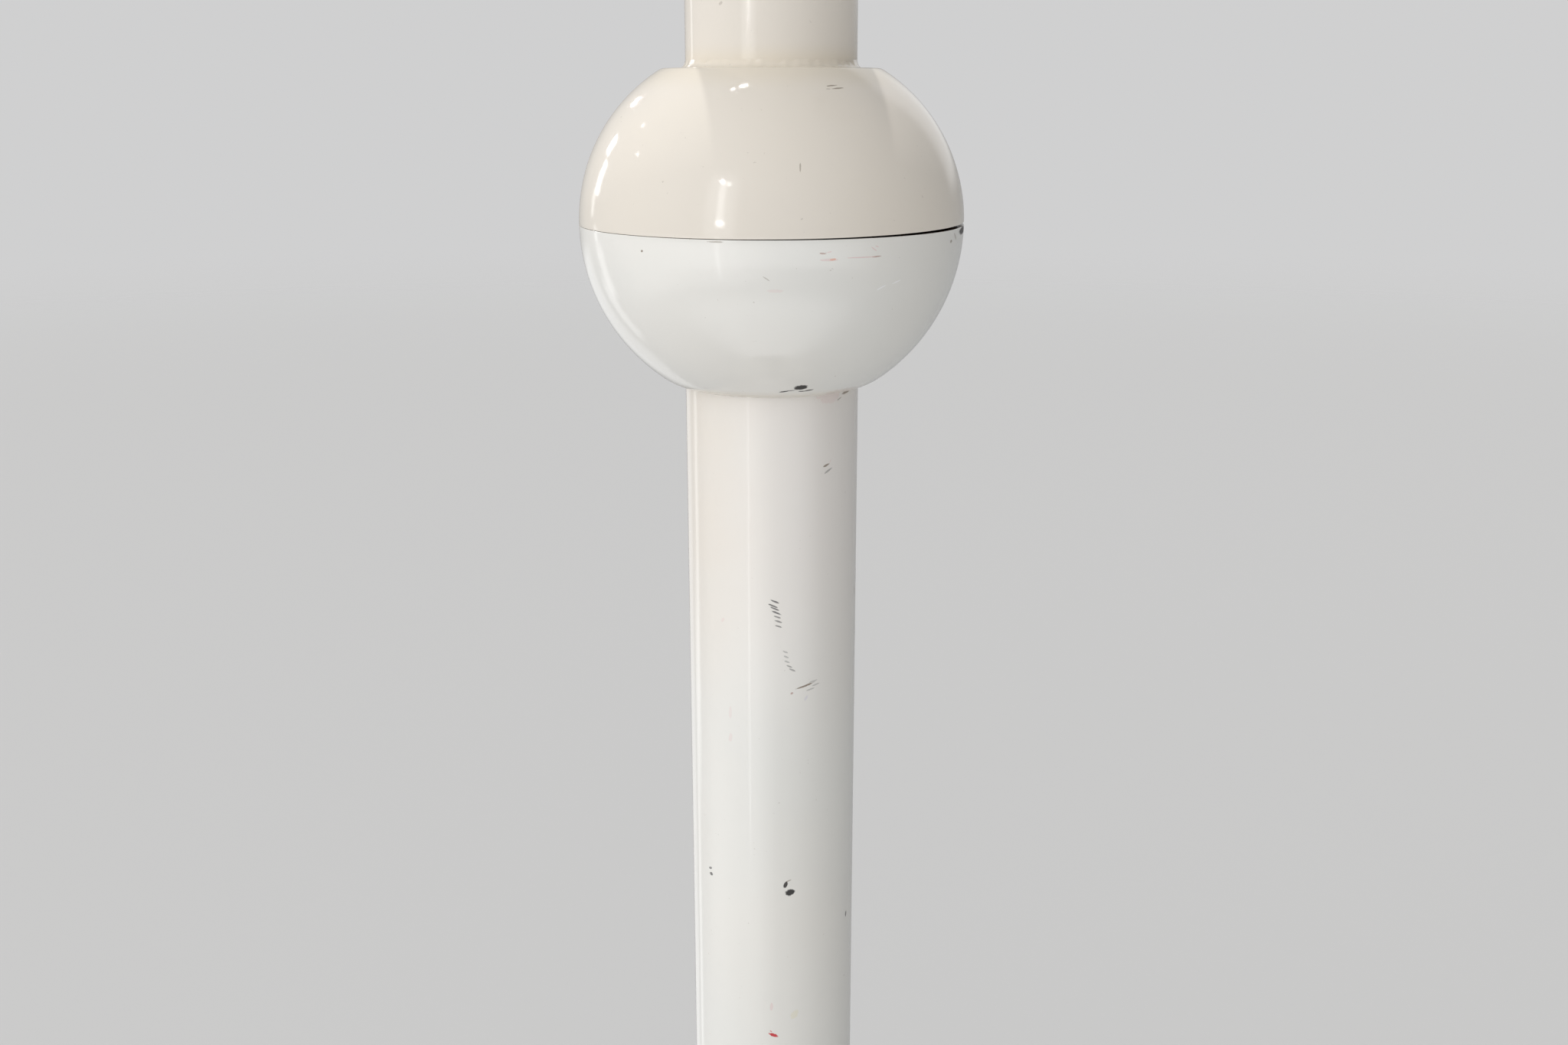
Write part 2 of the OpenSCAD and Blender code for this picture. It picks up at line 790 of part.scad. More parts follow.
module head_hub() {
    color("linen") difference() {
        at_arm_end() translate([0, 0, hub_z]) cylinder(r = arm_r, h = hub_l + hub_spare);
        at_shade() shade_form(shade_r);
        at_arm_end() cylinder(r = head_spindle_d / 2 + fix_gap, h = big / 2);
        at_arm_end() translate([-head_stop_r, 0, 0])
            cylinder(r = head_stop_d / 2 + fix_gap, h = head_stop_hub);
    }
}

module head_spindle() {
    color("lightgray") at_arm_end() translate([0, 0, head_tip_z])
        ring(head_spindle_d / 2, head_bore / 2, holder_z + spindle_in_cap - head_tip_z);
}

module head_stop_pin() {
    color("gray") at_arm_end() translate([-head_stop_r, 0, -head_stop_in])
        cylinder(d = head_stop_d, h = head_stop_in + head_stop_hub);
}

module head_pressure_washer() {
    color("silver") at_arm_end() translate([0, 0, head_pressure_z])
        ring(head_washer_d / 2, head_spindle_d / 2 + fix_gap, head_pressure_t);
}

module head_springs() {
    color("silver") at_arm_end() translate([0, 0, head_springs_z])
        spring_pair(head_spring_d / 2, head_spindle_d / 2 + free_gap, head_spring_t, head_spring_dish);
}

module head_nuts() {
    color("silver") at_arm_end() for (i = [0, 1])
        translate([0, 0, head_nuts_z + i * (head_nut_t + stack_gap)]) rotate([0, 0, 15 * i])
            hex_nut(head_nut_af, head_spindle_d / 2 + fix_gap, head_nut_t);
}

// Shade

module shade() {
    color("linen") difference() {
        at_shade() union() {
            shade_form(shade_r);
            translate([0, 0, -skirt_h]) rotate_extrude()
                translate([shade_r - shade_wall / 2, 0]) circle(d = rim_d);
        }
        at_shade() {
            shade_form(shade_r - shade_wall);
            translate([0, 0, -skirt_h - rim_d]) cylinder(r = shade_r - shade_wall, h = skirt_h);
            round_about(vents, vent_circle / 2) cylinder(d = vent_d, h = 2 * shade_r);
        }
        at_arm_end() cylinder(r = head_spindle_d / 2 + fix_gap, h = shade_r);
    }
}

module saddle_washer() {
    color("silver") difference() {
        intersection() {
            at_arm_end() translate([0, 0, wall_z - 1]) cylinder(d = saddle_d, h = saddle_t + 1);
            at_shade() shade_form(shade_r - shade_wall);
        }
        at_arm_end() cylinder(r = head_spindle_d / 2 + fix_gap, h = big / 2);
    }
}

module hub_nut() {
    color("silver") at_arm_end() translate([0, 0, nut_face_z])
        hex_nut(head_nut_af, head_spindle_d / 2 + fix_gap, head_nut_t);
}

// Lamp holder and bulb

module holder_cap() {
    color("dimgray") at_arm_end() translate([0, 0, holder_z]) rotate_extrude() polygon([
        [head_spindle_d / 2 + fix_gap, 0], [holder_r - cap_taper, 0], [holder_r, cap_floor_t],
        [holder_r, holder_cap_l], [holder_r - cap_wall, holder_cap_l],
        [holder_r - cap_wall, cap_floor_t + cap_wall], [head_spindle_d / 2 + fix_gap, cap_floor_t]
    ]);
}

module holder_body() {
    color("dimgray") at_arm_end() translate([0, 0, body_z]) difference() {
        cylinder(r = holder_r, h = holder_body_l);
        translate([0, 0, holder_floor_t])
            cylinder(r = thread_r + thread_wall + fix_gap, h = holder_body_l);
    }
}

module holder_thread() {
    color("goldenrod") at_arm_end() translate([0, 0, contact_z])
        ring(thread_r + thread_wall, thread_r, holder_body_l - holder_floor_t - thread_end);
}

module holder_contact() {
    color("goldenrod") at_arm_end() translate([0, 0, contact_z]) cylinder(r = contact_r, h = contact_t);
}

module holder_ring() {
    color("dimgray") at_arm_end() translate([0, 0, mouth_z - holder_ring_l])
        ring(holder_r + holder_ring_wall, holder_r + fix_gap, holder_ring_l);
}

module bulb_cap() {
    tip_r = 4.5;
    bevel = 1.5;
    color("silver") at_arm_end() rotate_extrude() polygon([
        [0, bulb_tip_z], [tip_r, bulb_tip_z], [bulb_cap_d / 2 - bevel, bulb_cap_z],
        [bulb_cap_d / 2, bulb_cap_z + bevel], [bulb_cap_d / 2, glass_z], [0, glass_z]
    ]);
}

// Outline of the glass: a globe that runs into a neck on a line tangent to it
module glass_outline(r_globe, r_neck) {
    reach = globe_z - glass_z;
    lean = asin((r_globe - r_neck) / reach);
    intersection() {
        union() {
            translate([0, globe_z]) circle(r_globe);
            polygon([
                [0, glass_z], [r_neck, glass_z],
                [r_globe * cos(lean), globe_z - r_globe * sin(lean)], [0, globe_z]
            ]);
        }
        translate([0, glass_z]) square([big, big]);
    }
}

module bulb_glass() {
    color("ivory") at_arm_end() rotate_extrude() difference() {
        glass_outline(bulb_d / 2, bulb_cap_d / 2);
        glass_outline(bulb_d / 2 - glass_wall, bulb_cap_d / 2 - 2 * glass_wall);
    }
}

module head_lead() {
    color("white") at_arm_end() cylinder(d = lead_d, h = body_z);
}

base_felt();
base_weight();
base_cover();
stem_flange();
base_bolts();
base_washers();
base_collar();
stem_screws();
cord_gland();
gland_nut();
switch_body();
switch_bezel();
push_button();
lower_stem();
lower_shell();
lower_plate();
stop_block();
bearing_bush();
friction_disc();
lower_washer();
stem_lead();
upper_shell();
upper_plate();
stop_pin();
pivot_spindle();
spindle_dowel();
pressure_washer();
disc_springs();
lock_nuts();
arm_tube();
arm_plug();
plug_screws();
head_bush();
head_disc();
head_washer();
arm_lead();
head_hub();
head_spindle();
head_stop_pin();
head_pressure_washer();
head_springs();
head_nuts();
shade();
saddle_washer();
hub_nut();
holder_cap();
holder_body();
holder_thread();
holder_contact();
holder_ring();
bulb_cap();
bulb_glass();
head_lead();
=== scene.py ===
"""Looks of the adjustable floor lamp, built around its CAD parts.

Metres, floor at Z = 0, stem on the Z axis, arm towards +X, front of the picture towards -Y.
Run as a script it makes the whole scene; registered as an add-on it gives one button for each group.
"""

import math
from dataclasses import dataclass

import bmesh
import bpy
from bpy.props import FloatProperty, IntProperty, PointerProperty
from mathutils import Matrix, Vector


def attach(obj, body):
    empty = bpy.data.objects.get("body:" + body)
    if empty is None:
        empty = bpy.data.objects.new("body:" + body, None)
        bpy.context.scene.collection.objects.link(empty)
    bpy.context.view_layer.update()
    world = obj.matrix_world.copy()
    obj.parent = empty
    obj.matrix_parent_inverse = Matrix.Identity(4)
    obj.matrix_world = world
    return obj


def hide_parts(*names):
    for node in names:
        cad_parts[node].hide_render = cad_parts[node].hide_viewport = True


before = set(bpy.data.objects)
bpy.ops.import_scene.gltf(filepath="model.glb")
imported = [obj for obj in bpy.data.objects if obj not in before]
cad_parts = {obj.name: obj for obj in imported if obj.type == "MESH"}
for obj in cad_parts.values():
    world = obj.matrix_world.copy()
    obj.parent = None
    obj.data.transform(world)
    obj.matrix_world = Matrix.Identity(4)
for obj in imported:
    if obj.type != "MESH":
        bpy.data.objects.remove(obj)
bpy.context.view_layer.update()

bl_info = {
    "name": "Floor lamp looks",
    "version": (1, 0, 0),
    "blender": (4, 5, 0),
    "location": "3D View > Sidebar > Lamp",
    "description": "Finishes, fine details and the studio of an adjustable floor lamp",
    "category": "Object",
}

# Sizes in metres that the marks and the details are placed by, most of them the CAD part's
BALL_Z = 0.640
ARM_Z = 1.290
STEM_R = 0.030
ARM_R = 0.0285

# The ball: OFF is how far a half-shell's arc is moved out from the axis, heights are from the seam, and
# angles are in degrees. The shoulder, the foot and the bead are fitted to the photograph.
BALL_R = 0.065
UPPER_OFF = 0.0065
LOWER_OFF = 0.0015
WALL = 0.002
SHOULDER_Z = 0.0503
SHOULDER_ROUND = 0.004
FOOT_Z = 0.0553
FOOT_ROUND = 0.020
FOOT_INSIDE_Z = 0.0535
FOOT_INSIDE_ANGLE = 60.0
BEAD_H = 0.0025
BEAD_W = 0.0020
PRIMER_DEPTH = 0.0004
PRIMER_TOP = 0.030

# The seam: the CAD part's even gap, the least gap and its slope in the render, and how high above it
# the upper half is bent for the slack
SEAM = 0.0006
SEAM_LEAST = 0.00012
SEAM_SLOPE = 0.00004
SEAM_BEND = 0.020

# The bulb's cap and the lamp holder's ring, with their places along the arm's axis
CAP_X = 0.2212
CAP_R = 0.0132
CAP_END = 0.0260
THREAD_LOW = 0.0030
THREAD_HIGH = 0.0220
THREAD_PITCH = 0.0036
THREAD_DEPTH = 0.0005
THREAD_RUN_OUT = 0.0015
HOLDER_RIBS_X = 0.2377
HOLDER_RING_R = 0.0217
HOLDER_RIB_LENGTH = 0.0076

# The shade, its inner radius and the set screws at the end of the arm
SHADE_CENTRE = (0.335, 0.0, ARM_Z)
SHADE_INSIDE_R = 0.1496
SET_SCREWS_X = 0.161
SET_SCREW_RING = 0.0284
SET_SCREW_D = 0.004
SET_SCREW_LENGTH = 0.0058
SOCKET_DEPTH = 0.0022

# The foot switch and the cord's gland
SWITCH_Y = -0.105
BUTTON_R = 0.0125
BUTTON_EDGE = 0.003
BUTTON_TOP = 0.046
GUIDE_R = 0.014
GUIDE_LOW = 0.026
GUIDE_HIGH = 0.0358
RIPPLE_PITCH = 0.0019
RIPPLE_DEPTH = 0.0002
BEZEL_R = 0.02035
BEZEL_RIBS_Z = 0.0357
BEZEL_RIB_LENGTH = 0.0031
GLAND_PLACE = (0.0, 0.1515, 0.014)
GLAND_R = 0.009
GLAND_RIB_LENGTH = 0.0016


def operator_pair(operation):
    """The methods of Value for an operator and for its reflected form, as in 1 - mask."""

    def plain(self, other):
        return self.calculate(operation, self, other)

    def reflected(self, other):
        return self.calculate(operation, other, self)

    return plain, reflected


class Value:
    """A node's output that can be calculated with: the operators add Math nodes to its graph."""

    __add__, __radd__ = operator_pair("ADD")
    __sub__, __rsub__ = operator_pair("SUBTRACT")
    __mul__, __rmul__ = operator_pair("MULTIPLY")
    __truediv__, __rtruediv__ = operator_pair("DIVIDE")
    __pow__, __rpow__ = operator_pair("POWER")

    def __init__(self, graph, socket):
        self.graph = graph
        self.socket = socket

    def calculate(self, operation, *terms):
        return self.graph.node("ShaderNodeMath", {"operation": operation}, dict(enumerate(terms)))

    def __abs__(self):
        return self.calculate("ABSOLUTE", self)

    def max(self, other):
        return self.calculate("MAXIMUM", self, other)

    def min(self, other):
        return self.calculate("MINIMUM", self, other)

    def ramp(self, low, high, out_low=0.0, out_high=1.0):
        """Smooth step from out_low to out_high while this value goes from low to high."""
        return self.graph.node(
            "ShaderNodeMapRange",
            {"interpolation_type": "SMOOTHSTEP", "clamp": True},
            {"Value": self, "From Min": low, "From Max": high, "To Min": out_low, "To Max": out_high},
        )


class Graph:
    """Adds nodes to a tree and gives back their outputs as values."""

    def __init__(self, tree):
        self.tree = tree

    def node(self, kind, settings=None, inputs=None, output=0):
        """One node: its settings are made first, then its inputs. Inputs and outputs go by name or
        number; for a tuple of outputs it gives a list of values."""
        made = self.tree.nodes.new(kind)
        for name, value in (settings or {}).items():
            setattr(made, name, value)
        for key, value in (inputs or {}).items():
            self.feed(made, key, value)
        if isinstance(output, tuple):
            return [Value(self, made.outputs[key]) for key in output]
        return Value(self, made.outputs[output])

    def feed(self, made, key, value):
        """Links a value to an input, or sets the input's own number, vector or colour."""
        found = made.inputs[key]
        if isinstance(value, Value):
            self.tree.links.new(value.socket, found)
        elif hasattr(value, "__len__") and found.type == "RGBA" and len(value) == 3:
            found.default_value = (*value, 1.0)
        else:
            found.default_value = value

    def close(self, kind, value):
        """Links a value to the first input of a new output node."""
        self.tree.links.new(value.socket, self.tree.nodes.new(kind).inputs[0])

    def mix(self, factor, first, second):
        """Colour mix from first to second."""
        return self.node(
            "ShaderNodeMix",
            {"data_type": "RGBA", "blend_type": "MIX", "clamp_factor": True},
            {0: factor, 6: first, 7: second},
            output=2,
        )

    def vector(self, operation, *terms, output=0):
        settings = {"operation": operation}
        return self.node("ShaderNodeVectorMath", settings, dict(enumerate(terms)), output)

    def parts(self, vector):
        """The X, Y and Z of a vector."""
        return self.node("ShaderNodeSeparateXYZ", None, {0: vector}, output=(0, 1, 2))

    def noise(self, vector, scale, detail, roughness):
        return self.node(
            "ShaderNodeTexNoise",
            {"noise_dimensions": "3D"},
            {"Vector": vector, "Scale": scale, "Detail": detail, "Roughness": roughness},
        )


def srgb(red, green, blue):
    """Linear colour of a screen colour from 0 to 255."""
    out = []
    for c in (red, green, blue):
        c = c / 255
        out.append(c / 12.92 if c <= 0.04045 else ((c + 0.055) / 1.055) ** 2.4)
    return tuple(out)


def emptied(owner):
    """The graph of a material or a world, without the nodes that it starts with."""
    owner.use_nodes = True
    owner.node_tree.nodes.clear()
    return Graph(owner.node_tree)


def new_look(name):
    """A new material, its graph and its object coordinates."""
    material = bpy.data.materials.new("look_" + name)
    graph = emptied(material)
    return material, graph, graph.node("ShaderNodeTexCoord", output="Object")


def close_look(graph, colour, roughness, height, bump_mm, metallic=0.0, **constants):
    """Ends a material: one Principled shader with the graph's colour, roughness and bump, and other
    inputs that are the same all over."""
    bump = {"Strength": 1.0, "Distance": bump_mm / 1000, "Height": height}
    inputs = {"Base Color": colour, "Roughness": roughness, "Metallic": metallic,
              "Normal": graph.node("ShaderNodeBump", None, bump)}
    inputs.update((key.replace("_", " "), value) for key, value in constants.items())
    graph.close("ShaderNodeOutputMaterial", graph.node("ShaderNodeBsdfPrincipled", None, inputs))


def paint(material, *nodes):
    """Gives a material to CAD nodes."""
    for name in nodes:
        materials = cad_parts[name].data.materials
        materials.clear()
        materials.append(material)


def look(name):
    """A finish that the material buttons have made."""
    return bpy.data.materials["look_" + name]


def dress(piece, body, slot, *nodes):
    """Makes a piece ride on a body and stand for CAD nodes, which it hides; slot is not used."""
    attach(piece, body)
    if nodes:
        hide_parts(*nodes)


def along_arm(x):
    """Turns Z towards +X at a place on the axis of the arm's end."""
    return Matrix.Translation((x, 0.0, ARM_Z)) @ Matrix.Rotation(math.pi / 2, 4, "Y")


# Meshes

# Edges sharper than this angle in degrees keep their crease
SHARP_EDGE = 32.0


def add_object(name, data):
    made = bpy.data.objects.new(name, data)
    bpy.context.scene.collection.objects.link(made)
    return made


def arc(centre, radius, start, end, steps):
    """Points of an arc in an outline; angles in degrees."""
    points = []
    for i in range(steps + 1):
        turn = math.radians(start + (end - start) * i / steps)
        points.append((centre[0] + radius * math.cos(turn), centre[1] + radius * math.sin(turn)))
    return points


def make_piece(name, mesh, material, place):
    """Puts a mesh in its place as a finished piece, smooth except at its sharp edges."""
    mesh.transform(place)
    for polygon in mesh.polygons:
        polygon.use_smooth = True
    mesh.set_sharp_from_angle(angle=math.radians(SHARP_EDGE))
    mesh.materials.clear()
    mesh.materials.append(material)
    return add_object(name, mesh)


def revolve(name, outline, segments, shape=None):
    """Mesh of a closed outline of (radius, height) points turned about Z. shape(turn, index, radius,
    height) may move each point."""
    made = bmesh.new()
    rings = []
    for i in range(segments):
        turn = 2 * math.pi * i / segments
        ring = []
        for k, (radius, height) in enumerate(outline):
            if shape is not None:
                radius, height = shape(turn, k, radius, height)
            ring.append(made.verts.new((radius * math.cos(turn), radius * math.sin(turn), height)))
        rings.append(ring)
    for i in range(segments):
        here, after = rings[i], rings[(i + 1) % segments]
        for k in range(len(outline)):
            nxt = (k + 1) % len(outline)
            made.faces.new((here[k], after[k], after[nxt], here[nxt]))
    bmesh.ops.remove_doubles(made, verts=made.verts, dist=1e-7)
    bmesh.ops.recalc_face_normals(made, faces=made.faces)
    mesh = bpy.data.meshes.new(name)
    made.to_mesh(mesh)
    made.free()
    return mesh


def waves(turn, seed):
    """A steady unevenness round a ring, from -1 to 1."""
    return sum(math.sin(n * turn + seed * n / 5) for n in (7, 13, 29, 47)) / 4


def shell_outline(off, rim, end):
    """Outer side of a half-shell from its rim to an angle, as (radius, height above the seam)."""
    radius, low = BALL_R - off, SEAM / 2 + rim
    run = math.sqrt((radius - rim) ** 2 - low**2)
    start = math.degrees(math.atan2(low, run))
    return arc((off + run, low), rim, -90, start, 6) + arc((off, 0), radius, start, end, 60)[1:]


def shell_inside(off, end):
    """Inner side of a half-shell from an angle back to the rim."""
    radius = BALL_R - off - WALL
    return arc((off, 0), radius, end, math.degrees(math.asin(SEAM / 2 / radius)), 30)


def closing(off, height, rounding):
    """Where a half-shell's outer arc turns into the round edge of its flat end: centre and angle."""
    run = math.sqrt((BALL_R - off - rounding) ** 2 - (height - rounding) ** 2)
    return (off + run, height - rounding), math.degrees(math.atan2(height - rounding, run))


def upper_outline(rim):
    """Closed outline of the upper half-shell, and which of its points are the weld bead's."""
    bead_steps = 8
    centre, turn = closing(UPPER_OFF, SHOULDER_Z, SHOULDER_ROUND)
    outline = shell_outline(UPPER_OFF, rim, turn) + arc(centre, SHOULDER_ROUND, turn, 90, 10)[1:]
    first = len(outline)
    for i in range(bead_steps + 1):
        fall = math.radians(90 * i / bead_steps)
        outline.append((ARM_R + BEAD_W * (1 - math.sin(fall)),
                        SHOULDER_Z + BEAD_H * (1 - math.cos(fall))))
    bead = range(first, len(outline) - 1)
    outline.append((ARM_R, SHOULDER_Z - WALL))
    inside = math.degrees(math.asin((SHOULDER_Z - WALL) / (BALL_R - UPPER_OFF - WALL)))
    return outline + shell_inside(UPPER_OFF, inside), bead


def lower_outline(rim):
    """Closed outline of the lower half-shell, whose end turns in to the stem."""
    centre, turn = closing(LOWER_OFF, FOOT_Z, FOOT_ROUND)
    last = math.degrees(math.acos((STEM_R - centre[0]) / FOOT_ROUND))
    outline = shell_outline(LOWER_OFF, rim, turn) + arc(centre, FOOT_ROUND, turn, last, 12)[1:]
    outline += [(STEM_R, FOOT_INSIDE_Z)] + shell_inside(LOWER_OFF, FOOT_INSIDE_ANGLE)
    return [(r, -z) for r, z in outline]


def cap_outline():
    """Outline of the bulb's cap from its tip contact to the glass, before its thread is rolled."""
    outline = [(0.0, 0.0), (0.0030, 0.0), (0.0042, 0.0004), (0.0045, 0.0012), (0.0117, 0.0020)]
    steps = 60
    rise = (THREAD_HIGH - THREAD_LOW) / steps
    outline += [(CAP_R - THREAD_DEPTH, THREAD_LOW + rise * i) for i in range(steps + 1)]
    neck = [(CAP_R - 0.0006, 0.0235), (CAP_R - 0.0002, 0.0245), (CAP_R - 0.0002, CAP_END)]
    return outline + neck + [(0.0, CAP_END)]


def rolled_thread(turn, index, radius, height):
    """Moves a point of the cap's side to the wavy thread that is rolled into it."""
    top = THREAD_HIGH + 0.0001
    if THREAD_LOW <= height <= top:
        ease = min(1.0, (height - THREAD_LOW) / THREAD_RUN_OUT, (top - height) / THREAD_RUN_OUT)
        wave = math.cos(2 * math.pi * height / THREAD_PITCH - turn)
        radius = CAP_R - THREAD_DEPTH + THREAD_DEPTH * ease * wave
    return radius, height


def button_outline():
    """Outline of the foot button: guide, rounded cap and a top with round ripples."""
    flat = BUTTON_R - BUTTON_EDGE
    outline = [(0.0, GUIDE_LOW), (GUIDE_R, GUIDE_LOW), (GUIDE_R, GUIDE_HIGH), (BUTTON_R, GUIDE_HIGH)]
    outline += arc((flat, BUTTON_TOP - BUTTON_EDGE), BUTTON_EDGE, 0, 90, 12)
    steps = 100
    for i in range(1, steps + 1):
        wave = math.cos(2 * math.pi * flat * i / steps / RIPPLE_PITCH)
        outline.append((flat * (1 - i / steps), BUTTON_TOP - RIPPLE_DEPTH * (1 - wave)))
    return outline


# Geometry Nodes


def new_tree(name, **inputs):
    """A geometry tree with named inputs; gives its graph and the values of its inputs by name."""
    tree = bpy.data.node_groups.new(name, "GeometryNodeTree")
    for label, kind in inputs.items():
        tree.interface.new_socket(label, in_out="INPUT", socket_type="NodeSocket" + kind)
    tree.interface.new_socket("Geometry", in_out="OUTPUT", socket_type="NodeSocketGeometry")
    graph = Graph(tree)
    values = graph.node("NodeGroupInput", output=tuple(inputs))
    return graph, dict(zip(inputs, values))


def close_tree(graph, instances, material):
    """Ends a tree: real copies, with their material."""
    real = graph.node("GeometryNodeRealizeInstances", None, {0: instances})
    painted = graph.node("GeometryNodeSetMaterial", None, {"Geometry": real, "Material": material})
    graph.close("NodeGroupOutput", painted)
    return graph.tree


def ring_points(graph, given):
    """Points in a ring about Z, one for each copy."""
    inputs = {"Vertices": given["Copies"], "Radius": given["Ring"]}
    return graph.node("GeometryNodeMeshCircle", {"fill_type": "NONE"}, inputs)


def grow(name, tree, material, place, **inputs):
    """Runs a tree with the given inputs and gives its result as one plain piece."""
    carrier = add_object(name + "_carrier", bpy.data.meshes.new(name + "_carrier"))
    modifier = carrier.modifiers.new("grow", "NODES")
    modifier.node_group = tree
    inputs["Material"] = material
    for item in tree.interface.items_tree:
        if item.in_out == "INPUT":
            modifier[item.identifier] = inputs[item.name]
    bpy.context.view_layer.update()
    done = carrier.evaluated_get(bpy.context.evaluated_depsgraph_get())
    mesh = bpy.data.meshes.new_from_object(done)
    bpy.data.objects.remove(carrier)
    if not mesh.polygons:
        raise RuntimeError("Geometry nodes made nothing for " + name)
    return make_piece(name, mesh, material, place)


def rib_ring_tree():
    """Upright round ribs in a ring about Z."""
    graph, given = new_tree("rib_ring", Copies="Int", Ring="Float", Rib="Float", Length="Float",
                            Material="Material")
    sides = 10
    rib = graph.node("GeometryNodeMeshCylinder", {"fill_type": "TRIANGLE_FAN"},
                     {"Vertices": sides, "Radius": given["Rib"], "Depth": given["Length"]})
    copies = graph.node("GeometryNodeInstanceOnPoints", None,
                        {"Points": ring_points(graph, given), "Instance": rib})
    return close_tree(graph, copies, given["Material"])


def screw_ring_tree():
    """A screw copied round a ring about Z, each pointing outwards."""
    graph, given = new_tree("screw_ring", Screw="Object", Copies="Int", Ring="Float",
                            Material="Material")
    screw = graph.node("GeometryNodeObjectInfo", None, {"Object": given["Screw"]}, output="Geometry")
    turn = graph.node("GeometryNodeInputIndex") / given["Copies"] * (2 * math.pi)
    rotation = graph.node("ShaderNodeCombineXYZ", None, {0: 0.0, 1: math.pi / 2, 2: turn})
    copies = graph.node(
        "GeometryNodeInstanceOnPoints",
        None,
        {"Points": ring_points(graph, given), "Instance": screw, "Rotation": rotation},
    )
    return close_tree(graph, copies, given["Material"])


def set_screw(flats):
    """A set screw with a hexagonal socket, its outer end at the origin."""
    radius, bevel = SET_SCREW_D / 2, 0.0004
    outline = [(0, -SET_SCREW_LENGTH), (radius - bevel, -SET_SCREW_LENGTH),
               (radius, bevel - SET_SCREW_LENGTH), (radius, -bevel), (radius - bevel, 0)]
    socket = [(flats / 2, 0), (flats / 2, -SOCKET_DEPTH)]
    corners = range(len(outline), len(outline) + len(socket))

    def hexagon(turn, index, reach, height):
        if index in corners:
            sixth = math.pi / 3
            reach /= math.cos((turn % sixth) - sixth / 2)
        return reach, height

    return revolve("set_screw", outline + socket + [(0, -SOCKET_DEPTH)], 48, hexagon)


# Wear of the lacquer


@dataclass
class Mark:
    """A mark on a surface of revolution. Angle in degrees from the front towards +X, height in mm
    from the seam, length and width in mm, tilt in degrees from level, rough the raggedness of its
    edge."""

    kind: str
    angle: float
    height: float
    length: float
    width: float
    tilt: float = 0.0
    strength: float = 1.0
    rough: float = 0.35


def hatch(points, length, tilt, strength):
    """Short parallel strokes; points are (angle, height)."""
    width, rough = 0.65, 0.3
    return [Mark("scratch", *point, length, width, tilt, strength, rough) for point in points]


STEM_MARKS = [
    *hatch(((4.4, -125.8), (3.0, -127.3), (4.4, -128.4), (5.2, -129.8)), 3.6, -24, 1.0),
    *hatch(((6.0, -131.4), (6.6, -133.0), (6.8, -134.8)), 2.8, -20, 0.8),
    *hatch(((11.2, -144.2), (11.8, -146.0), (12.4, -147.8)), 2.2, -26, 0.45),
    *hatch(((14.0, -149.6), (16.0, -151.0)), 2.6, -26, 0.65),
    *hatch(((31.0, -156.2), (33.0, -157.6), (29.0, -159.0)), 3.4, 10, 0.4),
    Mark("dirt", 25.0, -157.4, 7.4, 0.7, 13, 0.95, 0.25),
    Mark("rust", 15.6, -159.6, 1.1, 0.8, 20, 0.6),
    Mark("lilac", 25.7, -162.0, 2.4, 1.0, 60, 0.25),
    Mark("pink", 43.0, -56.0, 12.0, 4.6, 0, 0.24, 0.7),
    Mark("dirt", 52.0, -57.3, 2.4, 0.6, 20, 0.6),
    Mark("dirt", 59.5, -55.6, 5.0, 0.9, 6, 0.85),
    Mark("dirt", 40.3, -79.4, 3.4, 0.8, 14, 0.85),
    Mark("scratch", 42.0, -81.4, 4.0, 0.8, 24, 0.6),
    Mark("pink", 44.0, -78.2, 1.6, 0.4, 50, 0.4),
    Mark("dirt", 80.6, -129.0, 2.6, 1.0, 84, 0.8),
    Mark("dirt", 82.8, -144.1, 2.4, 0.9, 80, 0.7),
    Mark("pink", -32.4, -134.2, 2.4, 1.2, 50, 0.25),
    Mark("pink", -27.0, -168.0, 5.5, 1.4, 88, 0.2),
    Mark("pink", -27.2, -177.5, 4.0, 1.6, 80, 0.25),
    Mark("chip", 11.4, -233.0, 2.8, 1.6, 72, 1.0, 0.25),
    Mark("black", 14.6, -236.2, 3.6, 2.8, 12, 1.0, 0.25),
    Mark("dirt", 13.2, -231.6, 2.8, 0.5, 20, 0.7),
    Mark("scratch", -46.8, -231.4, 1.8, 1.1, 20, 0.9),
    Mark("scratch", -46.0, -233.6, 2.0, 1.4, 0, 1.0),
    Mark("chip", 67.9, -253.9, 2.2, 1.2, 80, 0.8),
    Mark("red", 2.8, -294.1, 3.8, 1.4, -22, 1.0),
    Mark("red", 1.2, -292.6, 1.2, 0.5, -40, 0.7),
    Mark("yellow", 17.9, -286.2, 4.2, 2.8, 60, 0.22),
    Mark("pink", 1.5, -282.3, 3.6, 1.2, 88, 0.4),
]

